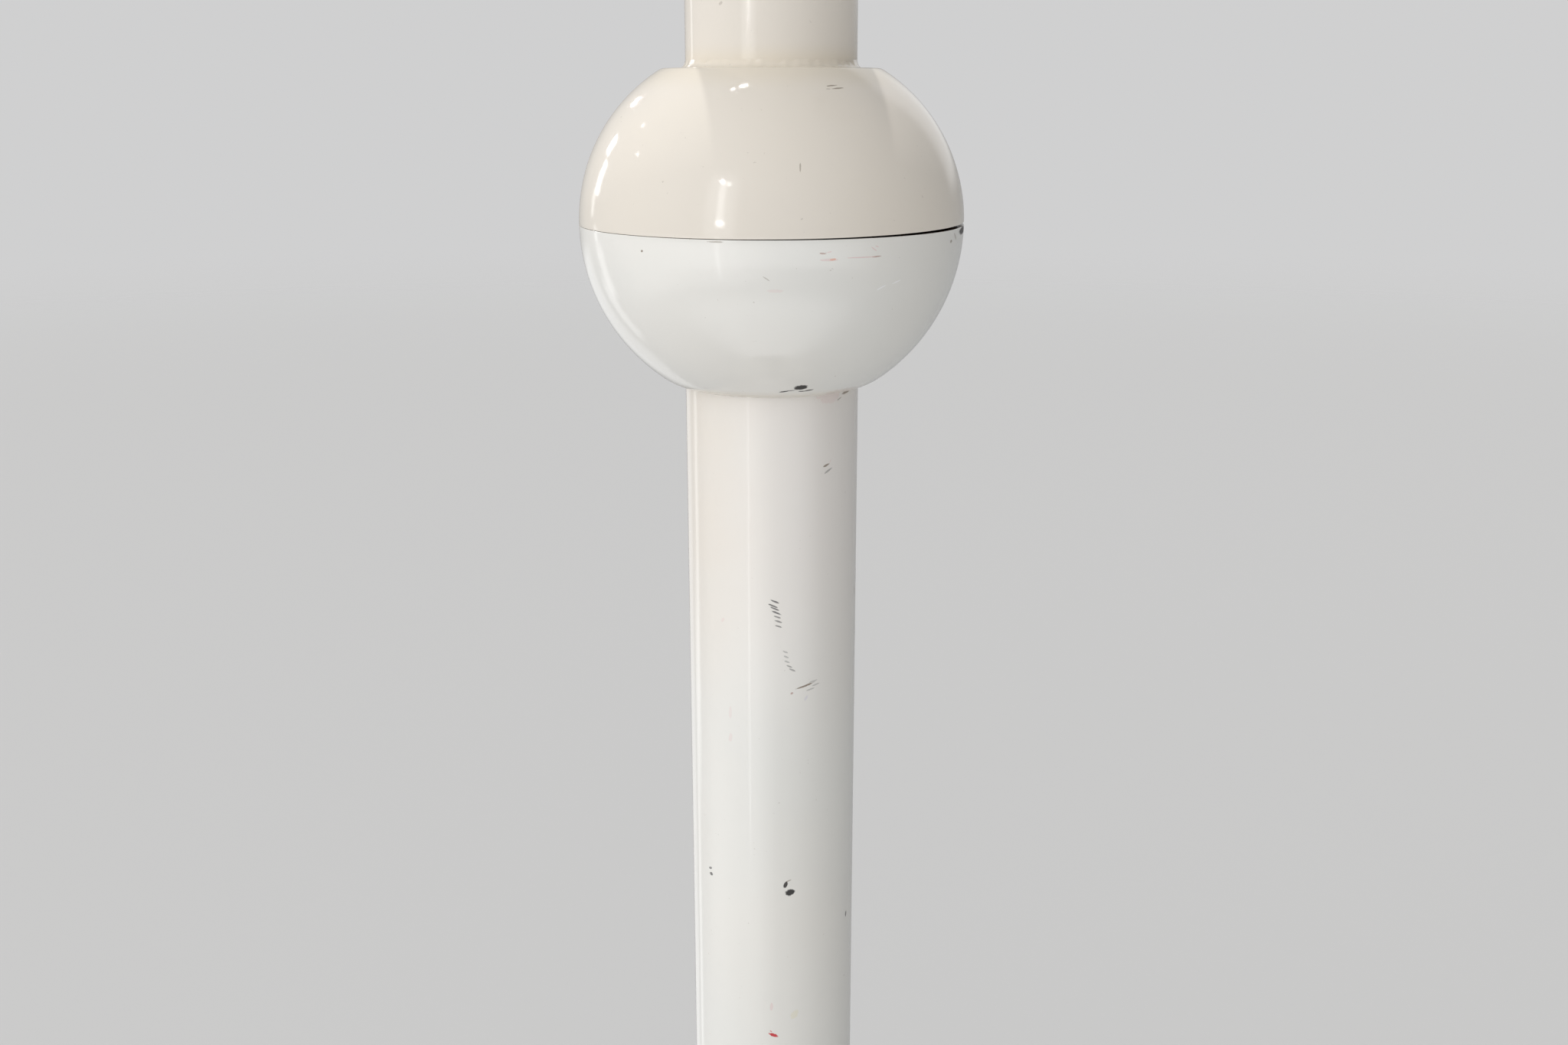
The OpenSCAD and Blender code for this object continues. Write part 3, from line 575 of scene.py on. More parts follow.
LOWER_MARKS = [
    Mark("black", 16.0, -49.7, 5.0, 3.4, 6, 1.0, 0.2),
    Mark("black", 8.4, -51.3, 3.4, 0.9, 14, 1.0, 0.2),
    Mark("black", 11.6, -50.9, 3.0, 0.5, 6, 1.0, 0.2),
    Mark("black", 20.6, -51.1, 3.2, 0.9, 14, 1.0, 0.2),
    Mark("black", 17.4, -51.4, 3.0, 0.6, 2, 1.0, 0.2),
    Mark("rust", 44.0, -53.4, 15.0, 6.0, 0, 0.2),
    Mark("chip", 79.0, -1.5, 13.0, 2.8, 0, 1.0, 0.3),
    Mark("dirt", 69.5, -2.6, 3.6, 0.8, -40, 0.7),
    Mark("dirt", 66.1, -3.9, 1.6, 1.0, 0, 0.8),
    Mark("dirt", -35.7, -4.8, 0.9, 0.7, 20, 0.9),
    Mark("dirt", -12.6, -0.9, 5.2, 0.6, 0, 0.5),
    Mark("rust", 16.4, -4.4, 2.4, 0.5, -4, 0.6),
    Mark("pink", 18.3, -4.0, 1.8, 0.4, 10, 0.5),
    Mark("orange", 19.5, -6.3, 2.2, 0.7, 4, 0.55),
    Mark("pink", 18.4, -6.4, 6.0, 0.9, 0, 0.45),
    Mark("pink", 28.0, -6.0, 11.0, 0.4, 0, 0.6),
    Mark("rust", 32.6, -6.0, 3.4, 0.4, 2, 0.75),
    Mark("pink", 31.6, -3.6, 2.6, 0.4, -34, 0.6),
    Mark("pink", 32.6, -2.9, 1.6, 0.4, -20, 0.5),
    Mark("dirt", 1.2, -11.9, 2.8, 0.4, -34, 0.4),
    # The two white marks are scratches painted pure white, as the bright highlight that they catch:
    # painted highlight on real scratches
    Mark("white", 35.4, -15.9, 4.2, 0.5, 24, 0.9),
    Mark("white", 40.6, -14.5, 3.8, 0.5, 18, 0.9),
    Mark("pink", 3.6, -15.7, 5.4, 1.2, 0, 0.22),
    Mark("dirt", -34.0, -54.7, 9.0, 0.6, 0, 0.7),
    Mark("dirt", -11.0, -54.8, 5.0, 0.5, 0, 0.5),
    Mark("rust", 52.0, -54.2, 3.6, 1.0, 30, 0.7),
    Mark("dirt", 50.0, -54.9, 5.0, 0.5, 0, 0.7),
]

UPPER_MARKS = [
    Mark("dirt", 27.6, 44.7, 4.0, 0.6, 8, 0.8),
    Mark("dirt", 29.6, 43.9, 4.6, 0.6, 6, 0.8),
    Mark("dirt", 25.4, 43.7, 1.6, 0.5, 0, 0.35),
    Mark("dirt", 10.8, 21.1, 3.0, 0.5, 86, 0.6),
    Mark("dirt", -61.5, 35.0, 0.7, 0.6, 0, 0.7),
    Mark("dirt", -59.0, 33.6, 0.5, 0.5, 0, 0.6),
]

ARM_MARKS = [
    Mark("dirt", -31.1, 69.7, 1.8, 1.0, 30, 0.3),
]

MARK_COLOURS = {
    "black": srgb(40, 38, 36),
    "chip": srgb(62, 58, 56),
    "scratch": srgb(128, 126, 125),
    "dirt": srgb(138, 124, 108),
    "rust": srgb(160, 104, 86),
    "orange": srgb(232, 150, 110),
    "pink": srgb(228, 196, 194),
    "lilac": srgb(190, 186, 216),
    "red": srgb(205, 60, 66),
    "yellow": srgb(226, 216, 160),
    # white is a painted highlight, the glint along bright scratches
    "white": srgb(250, 250, 250),
}
# The kinds of mark that are matt, and how deep some of them go beside the height of the orange peel
MATT_MARKS = ("black", "chip", "scratch", "rust", "dirt")
MARK_DEPTHS = {"black": 3.0, "chip": 3.0, "scratch": 1.2}


def surface_point(height_mm):
    """Radius and outward normal (radial, Z) of the lamp's outline at a height from the seam."""
    height = height_mm / 1000
    if height > SHOULDER_Z:
        return ARM_R, 1.0, 0.0
    off = UPPER_OFF if height > 0 else LOWER_OFF
    radius, level = BALL_R - off, 0.0
    centre, turn = closing(LOWER_OFF, FOOT_Z, FOOT_ROUND)
    if -height > radius * math.sin(math.radians(turn)):
        off, radius, level = centre[0], FOOT_ROUND, -centre[1]
    rise = height - level
    inside = radius**2 - rise**2
    if inside <= 0 or (height < 0 and off + math.sqrt(inside) < STEM_R):
        return STEM_R, 1.0, 0.0
    run = math.sqrt(inside)
    return off + run, run / radius, rise / radius


def mark_masks(graph, where, marks):
    """For each kind of mark one mask, made of all the marks of that kind."""
    depth = 0.003
    grain = graph.noise(where, 900.0, 3.0, 0.6)
    masks = {}
    for mark in marks:
        radius, n_r, n_z = surface_point(mark.height)
        a = math.radians(mark.angle)
        out = Vector((math.sin(a), -math.cos(a), 0.0))
        side = Vector((math.cos(a), math.sin(a), 0.0))
        normal = (out * n_r + Vector((0, 0, n_z))).normalized()
        up = normal.cross(side)
        up = up if up.z > 0 else -up
        tilt = math.radians(mark.tilt)
        along = side * math.cos(tilt) + up * math.sin(tilt)
        across = normal.cross(along)
        turn = Matrix((along, across, normal)).transposed().to_euler()
        place = out * radius + Vector((0, 0, BALL_Z + mark.height / 1000))
        local = graph.node(
            "ShaderNodeMapping",
            {"vector_type": "TEXTURE"},
            {"Vector": where, "Location": place, "Rotation": turn,
             "Scale": (mark.length / 2000, mark.width / 2000, depth)},
        )
        reach = graph.vector("LENGTH", local, output=1)
        edge = reach + (grain - 0.5) * (mark.rough * 3.0)
        mask = edge.ramp(0.72, 1.08, mark.strength, 0.0)
        masks[mark.kind] = masks[mark.kind].max(mask) if mark.kind in masks else mask
    return masks


@dataclass
class Band:
    """An aged ring of another colour: its height in mm from the seam, how far from there it is full
    and where it ends, both in mm, and how much of it keeps to the left."""

    colour: tuple
    height: float
    full: float
    end: float
    strength: float
    left: float = 0.0


@dataclass
class Inside:
    """The colour inside a dome. off is how far its arc is moved out from the axis, up is -1 for a
    dome that opens upwards, and what is higher than top has the outer colour."""

    centre: tuple
    radius: float
    colour: tuple
    edge: float
    off: float = 0.0
    up: float = 1.0
    top: float = 1.0


def lacquer(name, tones, settings, marks=(), bands=(), inside=None):
    """Baked enamel: slight orange peel, uneven ageing and the marks. tones are its usual and its aged
    colour."""
    base, warm = tones
    material, graph, where = new_look(name)
    drift = graph.noise(where, 9.0, 2.0, 0.5).ramp(0.35, 0.7)
    colour = graph.mix(drift * 0.6, base, warm)
    cloud = graph.noise(where, 60.0, 3.0, 0.55)
    colour = graph.mix(cloud.ramp(0.55, 0.8) * 0.16, colour, tuple(c * 0.93 for c in base))
    east, _, height_m = graph.parts(where)
    height_mm = (height_m - BALL_Z) * 1000.0
    for band in bands:
        near = abs(height_mm - band.height).ramp(band.full, band.end, band.strength, 0.0)
        if band.left:
            near = near * east.ramp(-STEM_R, STEM_R * 0.4, 1.0, 1.0 - band.left)
        colour = graph.mix(near * (cloud * 0.6 + 0.7), colour, band.colour)
    if inside is not None:
        x, y, z = graph.parts(graph.vector("SUBTRACT", where, inside.centre))
        rise = (z * inside.up).max(0.0)
        run = ((x * x + y * y) ** 0.5 - inside.off).max(0.0)
        dome = (run * run + rise * rise) ** 0.5
        outside = dome.ramp(inside.radius - inside.edge, inside.radius)
        outside = outside.max(rise.ramp(inside.top, inside.top + 0.001))
        colour = graph.mix(outside, inside.colour, colour)
    speck = graph.noise(where, 700.0, 2.0, 0.5).ramp(0.74, 0.8)
    colour = graph.mix(speck * 0.35, colour, srgb(170, 160, 148))
    rough = graph.noise(where, 34.0, 3.0, 0.6) * 0.08 + (settings.gloss - 0.04)
    height = graph.noise(where, 210.0, 2.0, 0.45) * settings.peel
    height = height + graph.noise(where, 46.0, 1.0, 0.4) * (1.6 * settings.peel)
    masks = mark_masks(graph, where, marks)
    for kind, mask in masks.items():
        colour = graph.mix(mask, colour, MARK_COLOURS[kind])
        if kind in MATT_MARKS:
            rough = rough + mask * 0.35
        if kind in MARK_DEPTHS:
            height = height - mask * MARK_DEPTHS[kind]
    close_look(graph, colour, rough.min(0.9), height, 0.02, IOR=1.5)
    return material


def metal(name, base, roughness, scale=400.0, stretch=(1.0, 1.0, 1.0), bump=0.004, metallic=1.0):
    """Metal with slight tarnish and tool marks, which stretch packs closer along an axis."""
    material, graph, where = new_look(name)
    lines = graph.noise(graph.vector("MULTIPLY", where, stretch), scale, 3.0, 0.6)
    tarnish = graph.noise(where, 40.0, 3.0, 0.6).ramp(0.45, 0.75)
    colour = graph.mix(tarnish * 0.5, base, tuple(c * 0.85 for c in base))
    colour = graph.mix(lines.ramp(0.4, 0.8) * 0.3, colour, tuple(c * 0.8 for c in base))
    close_look(graph, colour, lines * 0.14 + tarnish * 0.1 + roughness, lines, bump, metallic)
    return material


def plastic(name, base, roughness, grain=600.0, bump=0.006, **constants):
    """Moulded or pressed material with a fine grain."""
    material, graph, where = new_look(name)
    fine = graph.noise(where, grain, 3.0, 0.55)
    cloud = graph.noise(where, 45.0, 3.0, 0.6)
    paler = tuple(min(1.0, c * 1.25 + 0.004) for c in base)
    colour = graph.mix(cloud.ramp(0.4, 0.8) * 0.5, base, paler)
    close_look(graph, colour, fine * 0.12 + cloud * 0.1 + roughness, fine, bump, **constants)
    return material


# Camera, light and floor


@dataclass
class Window:
    """A bright patch of the surroundings, which only gloss shows. Azimuth in degrees from +Y towards
    +X, width half its width in degrees, low and high the Z of its directions, edge how far it fades
    out below and above."""

    azimuth: float
    width: float
    low: float
    high: float
    power: float
    edge: float


WINDOWS = (
    Window(-152.5, 12.0, -0.02, 0.46, 1.5, 0.15),
    Window(-152.5, 16.0, -0.50, -0.22, 0.2, 0.10),
    Window(180.0, 80.0, -1.05, -0.74, 1.2, 0.20),
    Window(-150.8, 1.2, -0.42, -0.10, 2.6, 0.05),
    Window(-58.5, 5.0, -0.36, -0.19, 1.1, 0.08),
    Window(-52.0, 5.5, -0.54, -0.35, 0.8, 0.09),
    Window(-152.8, 2.8, 0.08, 0.46, 3.4, 0.02),
    Window(-151.4, 1.0, 0.464, 0.490, 40.0, 0.008),
    Window(-156.4, 0.7, 0.452, 0.470, 34.0, 0.006),
    Window(-153.0, 2.8, 0.068, 0.088, 36.0, 0.008),
    Window(-130.0, 60.0, -0.45, -0.18, 0.8, 0.12),
    Window(180.0, 80.0, -0.34, -0.16, 1.0, 0.06),
    Window(-54.5, 3.2, 0.10, 0.245, 9.0, 0.02),
    Window(-50.0, 3.4, 0.285, 0.350, 14.0, 0.02),
    Window(-51.5, 2.2, -0.01, 0.09, 1.7, 0.015),
    Window(-56.0, 2.0, -0.13, -0.065, 1.6, 0.02),
    Window(-30.0, 16.0, -0.60, -0.18, 0.5, 0.08),
    Window(25.0, 22.0, 0.12, 0.60, 0.6, 0.10),
    Window(-64.0, 1.3, 0.570, 0.576, 12.0, 0.01),
    Window(-80.4, 1.3, 0.466, 0.472, 14.0, 0.01),
    Window(-57.0, 2.6, 0.9535, 0.9555, 100.0, 0.001),
    Window(-44.0, 4.2, 0.9625, 0.9650, 160.0, 0.001),
    Window(-34.5, 1.6, 0.405, 0.420, 150.0, 0.006),
)
# From where the key light comes, and the angle of its disc in degrees
KEY_DIRECTION = (-0.094, 0.378, 0.92)
KEY_SPREAD = 1.2
# The camera looks down by the pitch and to the left by the yaw, both in degrees
CAMERA_PLACE = (0.0257, -0.55286, BALL_Z + 0.04441)
CAMERA_PITCH = 15.189
CAMERA_YAW = 2.224
# How much brighter the surroundings are per unit of direction along X, Y and Z, and the least of them
SIDE_LIGHT = (-1.30, -1.20, 0.05)
SIDE_LEAST = 0.30
FLOOR_COLOUR = srgb(208, 208, 208)
# Where the floor's fade to the background begins and ends, in shares of its radius
FLOOR_FADE = (0.45, 0.97)


def aim(obj, direction):
    """Turns a camera or a light towards a direction."""
    obj.rotation_mode = "QUATERNION"
    obj.rotation_quaternion = Vector(direction).to_track_quat("-Z", "Y")


# Settings


class LampLacquerSettings(bpy.types.PropertyGroup):
    """How the lacquer looks."""

    peel: FloatProperty(name="Orange peel", description="Share of the usual waviness of the lacquer",
                        default=1.0, min=0.0, max=4.0, subtype="FACTOR")
    gloss: FloatProperty(name="Roughness", description="Roughness of the clean lacquer",
                         default=0.10, min=0.0, max=1.0, subtype="FACTOR")


class LampDetailSettings(bpy.types.PropertyGroup):
    """Sizes of the fine details."""

    rim: FloatProperty(name="Rim", description="Rounding of the two rims at the seam",
                       default=0.00018, min=0.0001, max=0.0008, unit="LENGTH", subtype="DISTANCE")
    slack: FloatProperty(name="Slack", description="How far the seam stands open at its wide side",
                         default=0.00085, min=0.0, max=0.0010, unit="LENGTH", subtype="DISTANCE")
    bead: FloatProperty(name="Bead unevenness", description="How uneven the weld bead on the shoulder is",
                        default=0.00022, min=0.0, max=0.0006, unit="LENGTH", subtype="DISTANCE")
    rib: FloatProperty(name="Rib radius", description="Radius of the grip ribs",
                       default=0.00045, min=0.0002, max=0.001, unit="LENGTH", subtype="DISTANCE")
    holder_ribs: IntProperty(name="Holder ribs", description="Ribs round the lamp holder's ring",
                             default=72, min=12, max=200)
    bezel_ribs: IntProperty(name="Bezel ribs", description="Ribs round the switch bezel",
                            default=84, min=12, max=200)
    gland_ribs: IntProperty(name="Gland ribs", description="Ribs round the cord gland",
                            default=30, min=12, max=80)
    socket: FloatProperty(name="Screw socket", description="Width of the set screws' hexagonal sockets",
                          default=0.002, min=0.001, max=0.003, unit="LENGTH", subtype="DISTANCE")


class LampStageSettings(bpy.types.PropertyGroup):
    """Camera, light and background."""

    lens: FloatProperty(name="Lens", description="Focal length of the camera",
                        default=36.87, min=15.0, max=200.0, unit="CAMERA")
    key: FloatProperty(name="Key light", description="Strength of the light above the lamp",
                       default=1.09, min=0.0, max=10.0)
    fill: FloatProperty(name="Fill", description="Brightness of the surroundings on the lamp",
                        default=0.55, min=0.0, max=4.0)
    windows: FloatProperty(name="Windows", description="Brightness of the patches that the gloss shows",
                           default=1.0, min=0.0, max=10.0)
    mirror: FloatProperty(name="Even reflections",
                          description="Share of the reflections that is the same all round",
                          default=0.5, min=0.0, max=1.0, subtype="FACTOR")
    wall: FloatProperty(name="Background", description="Brightness of the background that the camera sees",
                        default=0.63, min=0.0, max=1.0, subtype="FACTOR")
    floor_radius: FloatProperty(name="Floor radius", description="Where the floor has faded out",
                                default=7.0, min=1.0, max=30.0, unit="LENGTH", subtype="DISTANCE")


# Buttons


class LAMP_OT_lacquer(bpy.types.Operator):
    """Paints the lacquered pieces, with their wear"""

    bl_idname = "lamp.lacquer"
    bl_label = "Lacquer"

    def execute(self, context):
        settings = context.scene.lamp_lacquer
        cream = srgb(234, 227, 217), srgb(233, 225, 212)
        white = srgb(237, 237, 233), srgb(238, 234, 227)
        stem = srgb(234, 234, 230), white[1]
        joint = [Band(srgb(228, 216, 192), 50.5, 1.2, 8.0, 0.35)]
        foot = [Band(srgb(222, 210, 190), -55.0, 0.6, 4.0, 0.45)]
        aged = [Band(srgb(236, 231, 226), -70.0, 20.0, 130.0, 0.8),
                Band(srgb(234, 224, 208), -70.0, 20.0, 130.0, 0.45, 1.0)]
        centre, primer = (0.0, 0.0, BALL_Z), srgb(112, 82, 60)
        primed = [Inside(centre, BALL_R - off - PRIMER_DEPTH, primer, 0.0003, off, up, PRIMER_TOP)
                  for off, up in ((UPPER_OFF, 1.0), (LOWER_OFF, -1.0))]
        pale = Inside(SHADE_CENTRE, SHADE_INSIDE_R, srgb(243, 242, 238), 0.0004)
        coats = (
            ("cream_ball", cream, UPPER_MARKS, joint, primed[0], ["upper_shell"]),
            ("cream_arm", cream, ARM_MARKS, joint, None, ["arm_tube"]),
            ("white_ball", white, LOWER_MARKS, foot, primed[1], ["lower_shell"]),
            ("white_stem", stem, STEM_MARKS, aged, None, ["lower_stem"]),
            ("white_base", white, (), (), None, ["base_cover", "base_collar"]),
            ("cream_head", cream, (), (), pale, ["shade", "head_hub"]),
        )
        for name, tones, marks, bands, inside, nodes in coats:
            paint(lacquer(name, tones, settings, marks, bands, inside), *nodes)
        return {"FINISHED"}


class LAMP_OT_metals(bpy.types.Operator):
    """Gives the metal pieces their finishes"""

    bl_idname = "lamp.metals"
    bl_label = "Metals"

    def execute(self, context):
        zinc = metal("zinc", srgb(196, 198, 202), 0.28)
        bare = metal("bare", srgb(182, 184, 188), 0.22, stretch=(1.0, 1.0, 8.0))
        paint(zinc, "stem_flange", "base_bolts", "base_washers", "lower_plate", "upper_plate",
              "pressure_washer", "disc_springs", "lock_nuts", "arm_plug", "head_pressure_washer",
              "head_springs", "head_nuts", "saddle_washer", "hub_nut")
        paint(bare, "stop_block", "stop_pin", "pivot_spindle", "spindle_dowel", "head_spindle",
              "head_stop_pin")
        paint(metal("black_steel", srgb(60, 60, 64), 0.35), "stem_screws", "plug_screws")
        paint(metal("chrome", srgb(232, 233, 235), 0.06, bump=0.001), "switch_bezel")
        paint(metal("bronze", srgb(190, 146, 96), 0.34), "bearing_bush", "head_bush")
        paint(metal("brass", srgb(214, 178, 112), 0.24), "holder_thread", "holder_contact")
        paint(metal("cap_aluminium", srgb(206, 207, 208), 0.26, stretch=(8.0, 1.0, 1.0)), "bulb_cap")
        paint(metal("cast_iron", srgb(84, 84, 88), 0.55, metallic=0.4, scale=220.0, bump=0.15),
              "base_weight")
        return {"FINISHED"}


class LAMP_OT_plastics(bpy.types.Operator):
    """Gives felt, fibre, nylon, moulded pieces and the leads their finishes"""

    bl_idname = "lamp.plastics"
    bl_label = "Plastics"

    def execute(self, context):
        paint(plastic("dark_plastic", srgb(46, 44, 42), 0.3), "cord_gland", "gland_nut", "switch_body",
              "push_button")
        paint(plastic("bakelite", srgb(52, 38, 32), 0.16, grain=300.0, bump=0.003), "holder_cap",
              "holder_body", "holder_ring")
        paint(plastic("fibre", srgb(134, 84, 62), 0.6, bump=0.02), "friction_disc", "lower_washer")
        paint(plastic("nylon", srgb(226, 224, 214), 0.42), "head_disc", "head_washer")
        paint(plastic("felt", srgb(66, 66, 66), 0.85, grain=1500.0, bump=0.25), "base_felt")
        paint(plastic("lead_sheath", srgb(220, 219, 214), 0.45), "stem_lead", "arm_lead", "head_lead")
        return {"FINISHED"}


class LAMP_OT_bulb(bpy.types.Operator):
    """Gives the bulb its opal glass"""

    bl_idname = "lamp.bulb"
    bl_label = "Bulb"

    def execute(self, context):
        paint(plastic("opal_glass", srgb(246, 243, 236), 0.05, grain=120.0, bump=0.001,
                      Subsurface_Weight=0.4, Subsurface_Radius=(1.0, 1.0, 1.0), Subsurface_Scale=0.003,
                      IOR=1.5), "bulb_glass")
        return {"FINISHED"}


class LAMP_OT_ball(bpy.types.Operator):
    """Makes the two half-shells with their fine rims, the slack seam and the uneven weld bead"""

    bl_idname = "lamp.ball"
    bl_label = "Ball"

    def execute(self, context):
        sizes = context.scene.lamp_detail
        place = Matrix.Translation((0, 0, BALL_Z))
        outline, bead = upper_outline(sizes.rim)

        def worn(turn, index, radius, height):
            if index in bead:
                radius += sizes.bead * waves(turn, 1.7)
                height += sizes.bead * waves(turn, 4.3) * 0.7
            side = 0.5 + 0.5 * math.cos(turn) * radius / BALL_R
            gap = SEAM_LEAST + SEAM_SLOPE * side + sizes.slack * side**3
            fade = max(0.0, 1.0 - max(0.0, height) / SEAM_BEND)
            return radius, height + (gap - SEAM) * fade * fade * (3 - 2 * fade)

        segments = 288
        mesh = revolve("upper_half", outline, segments, worn)
        upper = make_piece("upper_half", mesh, look("cream_ball"), place)
        dress(upper, "arm", "cream_lacquer", "upper_shell")
        mesh = revolve("lower_half", lower_outline(sizes.rim), segments)
        lower = make_piece("lower_half", mesh, look("white_ball"), place)
        dress(lower, "stand", "cool_white_lacquer", "lower_shell")
        return {"FINISHED"}


class LAMP_OT_bulb_cap(bpy.types.Operator):
    """Makes the bulb's cap with its rolled thread"""

    bl_idname = "lamp.bulb_cap"
    bl_label = "Bulb cap"

    def execute(self, context):
        mesh = revolve("threaded_cap", cap_outline(), 96, rolled_thread)
        cap = make_piece("threaded_cap", mesh, look("cap_aluminium"), along_arm(CAP_X))
        dress(cap, "head", "cap_aluminium", "bulb_cap")
        return {"FINISHED"}


class LAMP_OT_button(bpy.types.Operator):
    """Makes the foot button with its rippled top"""

    bl_idname = "lamp.button"
    bl_label = "Foot button"

    def execute(self, context):
        mesh = revolve("rippled_button", button_outline(), 96)
        place = Matrix.Translation((0.0, SWITCH_Y, 0.0))
        top = make_piece("rippled_button", mesh, look("dark_plastic"), place)
        dress(top, "button", "dark_plastic", "push_button")
        return {"FINISHED"}


class LAMP_OT_grips(bpy.types.Operator):
    """Puts ribs round the lamp holder's ring, the switch bezel and the cord gland"""

    bl_idname = "lamp.grips"
    bl_label = "Grip ribs"

    def execute(self, context):
        sizes = context.scene.lamp_detail
        tree = rib_ring_tree()
        rib = sizes.rib
        bezel = Matrix.Translation((0.0, SWITCH_Y, BEZEL_RIBS_Z))
        gland = Matrix.Translation(GLAND_PLACE) @ Matrix.Rotation(-math.pi / 2, 4, "X")
        rows = (
            ("holder_ribs", sizes.holder_ribs, HOLDER_RING_R - rib * 0.4, HOLDER_RIB_LENGTH,
             along_arm(HOLDER_RIBS_X), "head", "bakelite"),
            ("bezel_ribs", sizes.bezel_ribs, BEZEL_R - rib * 0.4, BEZEL_RIB_LENGTH,
             bezel, "stand", "chrome"),
            ("gland_ribs", sizes.gland_ribs, GLAND_R - rib * 0.7, GLAND_RIB_LENGTH,
             gland, "stand", "dark_plastic"),
        )
        for name, copies, ring, length, place, body, finish in rows:
            ribs = grow(name, tree, look(finish), place, Copies=copies, Ring=ring, Rib=rib, Length=length)
            dress(ribs, body, finish)
        return {"FINISHED"}


class LAMP_OT_screws(bpy.types.Operator):
    """Makes the set screws at the end of the arm, with hexagonal sockets"""

    bl_idname = "lamp.screws"
    bl_label = "Set screws"

    def execute(self, context):
        sizes = context.scene.lamp_detail
        pattern = add_object("screw_pattern", set_screw(sizes.socket))
        screws = grow("socket_screws", screw_ring_tree(), look("black_steel"), along_arm(SET_SCREWS_X),
                      Screw=pattern, Copies=3, Ring=SET_SCREW_RING)
        bpy.data.objects.remove(pattern)
        dress(screws, "arm", "black_steel", "plug_screws")
        return {"FINISHED"}


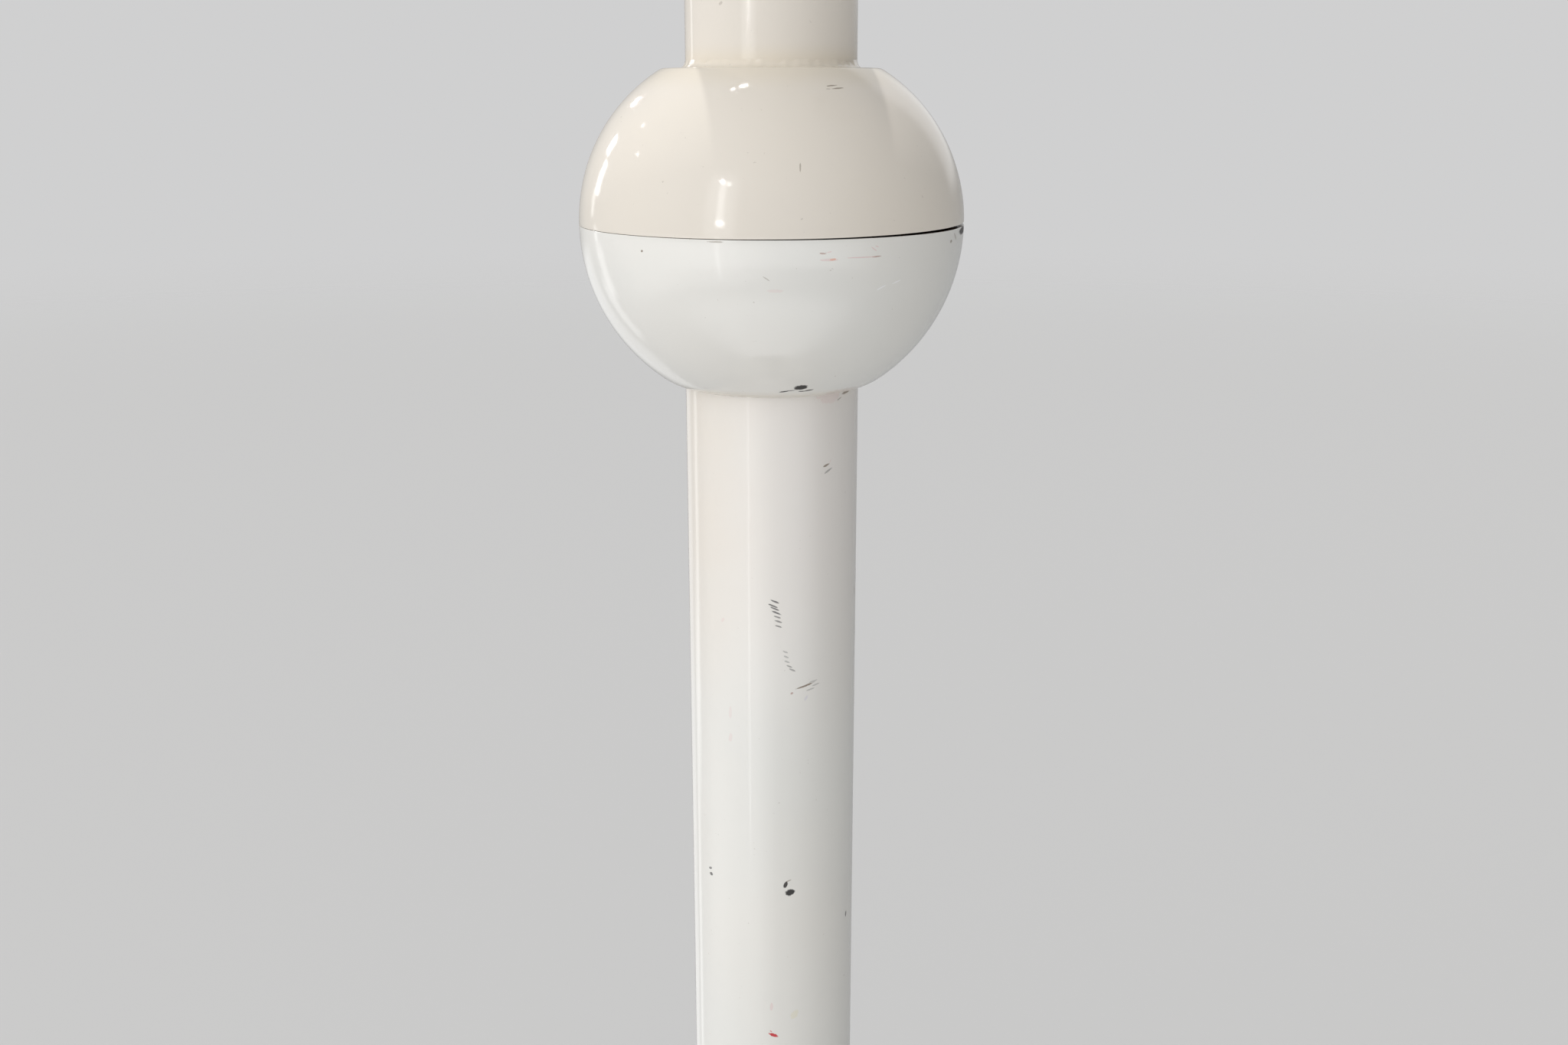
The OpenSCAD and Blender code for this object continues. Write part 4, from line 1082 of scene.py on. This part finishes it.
class LAMP_OT_stage(bpy.types.Operator):
    """Makes the camera, the light, the floor and the background"""

    bl_idname = "lamp.stage"
    bl_label = "Studio"

    def execute(self, context):
        scene = context.scene
        settings = scene.lamp_stage
        scene.view_settings.view_transform = "Standard"
        self.camera(scene, settings)
        self.world(scene, settings)
        self.key(settings)
        self.floor(settings)
        return {"FINISHED"}

    def camera(self, scene, settings):
        data = bpy.data.cameras.new("camera")
        data.sensor_fit = "HORIZONTAL"
        data.sensor_width = 36.0
        data.lens = settings.lens
        data.dof.use_dof = False
        data.clip_start = 0.02
        cam = add_object("camera", data)
        cam.location = CAMERA_PLACE
        pitch, yaw = math.radians(CAMERA_PITCH), math.radians(CAMERA_YAW)
        ahead = math.cos(pitch)
        aim(cam, (-math.sin(yaw) * ahead, math.cos(yaw) * ahead, -math.sin(pitch)))
        scene.camera = cam

    def world(self, scene, settings):
        """Soft surroundings for the lamp's shading, and bright patches that only its gloss shows."""
        world = bpy.data.worlds.new("studio")
        graph = emptied(world)
        x, y, z = graph.parts(graph.node("ShaderNodeTexCoord", output="Generated"))
        around = (x * SIDE_LIGHT[0] + y * SIDE_LIGHT[1] + z * SIDE_LIGHT[2] + 1.0).max(SIDE_LEAST)
        level = (x * x + y * y).max(0.0001) ** 0.5
        mirror = (around * (1.0 - settings.mirror) + settings.mirror) * settings.wall
        for window in WINDOWS:
            azimuth = math.radians(window.azimuth)
            facing = (x * math.sin(azimuth) + y * math.cos(azimuth)) / level
            wide = facing.ramp(*(math.cos(math.radians(window.width * share)) for share in (1.0, 0.3)))
            tall = z.ramp(window.low - window.edge, window.low)
            tall = tall * z.ramp(window.high, window.high + window.edge, 1.0, 0.0)
            mirror = mirror + wide * tall * (window.power * settings.windows)
        seen = graph.node("ShaderNodeBackground", None, {0: (1.0, 1.0, 1.004), 1: settings.wall})
        soft = graph.node("ShaderNodeBackground", None, {0: (1.0, 1.0, 1.0), 1: around * settings.fill})
        gloss = graph.node("ShaderNodeBackground", None, {0: (0.99, 0.995, 1.0), 1: mirror})
        rays = ("Is Camera Ray", "Is Glossy Ray", "Is Transmission Ray")
        camera, glossy, through = graph.node("ShaderNodeLightPath", output=rays)
        both = graph.node("ShaderNodeMixShader", None, {0: glossy, 1: soft, 2: gloss})
        both = graph.node("ShaderNodeMixShader", None, {0: camera.max(through), 1: both, 2: seen})
        graph.close("ShaderNodeOutputWorld", both)
        scene.world = world

    def key(self, settings):
        """One sun from above and behind, which throws the arm's shadow on the front of the ball."""
        data = bpy.data.lights.new("key", "SUN")
        data.energy = settings.key
        data.angle = math.radians(KEY_SPREAD)
        data.color = (1.0, 0.99, 0.975)
        key = add_object("key", data)
        key.location = Vector((0, 0, BALL_Z)) + Vector(KEY_DIRECTION) * 3
        aim(key, -Vector(KEY_DIRECTION))

    def floor(self, settings):
        """A matt disc that fades into the background and that the gloss doesn't show."""
        mesh = bpy.data.meshes.new("floor")
        count, radius = 128, settings.floor_radius
        turns = [2 * math.pi * i / count for i in range(count)]
        ring = [(radius * math.cos(turn), radius * math.sin(turn), 0.0) for turn in turns]
        mesh.from_pydata(ring, [], [tuple(range(count))])
        floor = add_object("floor", mesh)
        material = bpy.data.materials.new("floor")
        graph = emptied(material)
        x, y, _ = graph.parts(graph.node("ShaderNodeTexCoord", output="Object"))
        reach = (x * x + y * y) ** 0.5
        matt = graph.node("ShaderNodeBsdfDiffuse", None, {"Color": FLOOR_COLOUR})
        clear = graph.node("ShaderNodeBsdfTransparent")
        glossy = graph.node("ShaderNodeLightPath", output="Is Glossy Ray")
        faded = reach.ramp(*(radius * share for share in FLOOR_FADE))
        fade = graph.node("ShaderNodeMixShader", None, {0: faded.max(glossy), 1: matt, 2: clear})
        graph.close("ShaderNodeOutputMaterial", fade)
        mesh.materials.append(material)


class LAMP_PT_panel(bpy.types.Panel):
    """Settings and buttons of the lamp's looks"""

    bl_idname = "LAMP_PT_panel"
    bl_label = "Floor lamp"
    bl_space_type = "VIEW_3D"
    bl_region_type = "UI"
    bl_category = "Lamp"

    def draw(self, context):
        layout = self.layout
        for group in (context.scene.lamp_lacquer, context.scene.lamp_detail, context.scene.lamp_stage):
            box = layout.box()
            for name in group.__annotations__:
                box.prop(group, name)
        for operator in OPERATORS:
            layout.operator(operator.bl_idname)


OPERATORS = (
    LAMP_OT_lacquer,
    LAMP_OT_metals,
    LAMP_OT_plastics,
    LAMP_OT_bulb,
    LAMP_OT_ball,
    LAMP_OT_bulb_cap,
    LAMP_OT_button,
    LAMP_OT_grips,
    LAMP_OT_screws,
    LAMP_OT_stage,
)
CLASSES = (LampLacquerSettings, LampDetailSettings, LampStageSettings, *OPERATORS, LAMP_PT_panel)


def register():
    for entry in CLASSES:
        bpy.utils.register_class(entry)
    bpy.types.Scene.lamp_lacquer = PointerProperty(type=LampLacquerSettings)
    bpy.types.Scene.lamp_detail = PointerProperty(type=LampDetailSettings)
    bpy.types.Scene.lamp_stage = PointerProperty(type=LampStageSettings)


def unregister():
    del bpy.types.Scene.lamp_stage
    del bpy.types.Scene.lamp_detail
    del bpy.types.Scene.lamp_lacquer
    for entry in reversed(CLASSES):
        bpy.utils.unregister_class(entry)


def main():
    register()
    bpy.ops.lamp.lacquer()
    bpy.ops.lamp.metals()
    bpy.ops.lamp.plastics()
    bpy.ops.lamp.bulb()
    bpy.ops.lamp.ball()
    bpy.ops.lamp.bulb_cap()
    bpy.ops.lamp.button()
    bpy.ops.lamp.grips()
    bpy.ops.lamp.screws()
    bpy.ops.lamp.stage()


if __name__ == "__main__":
    main()
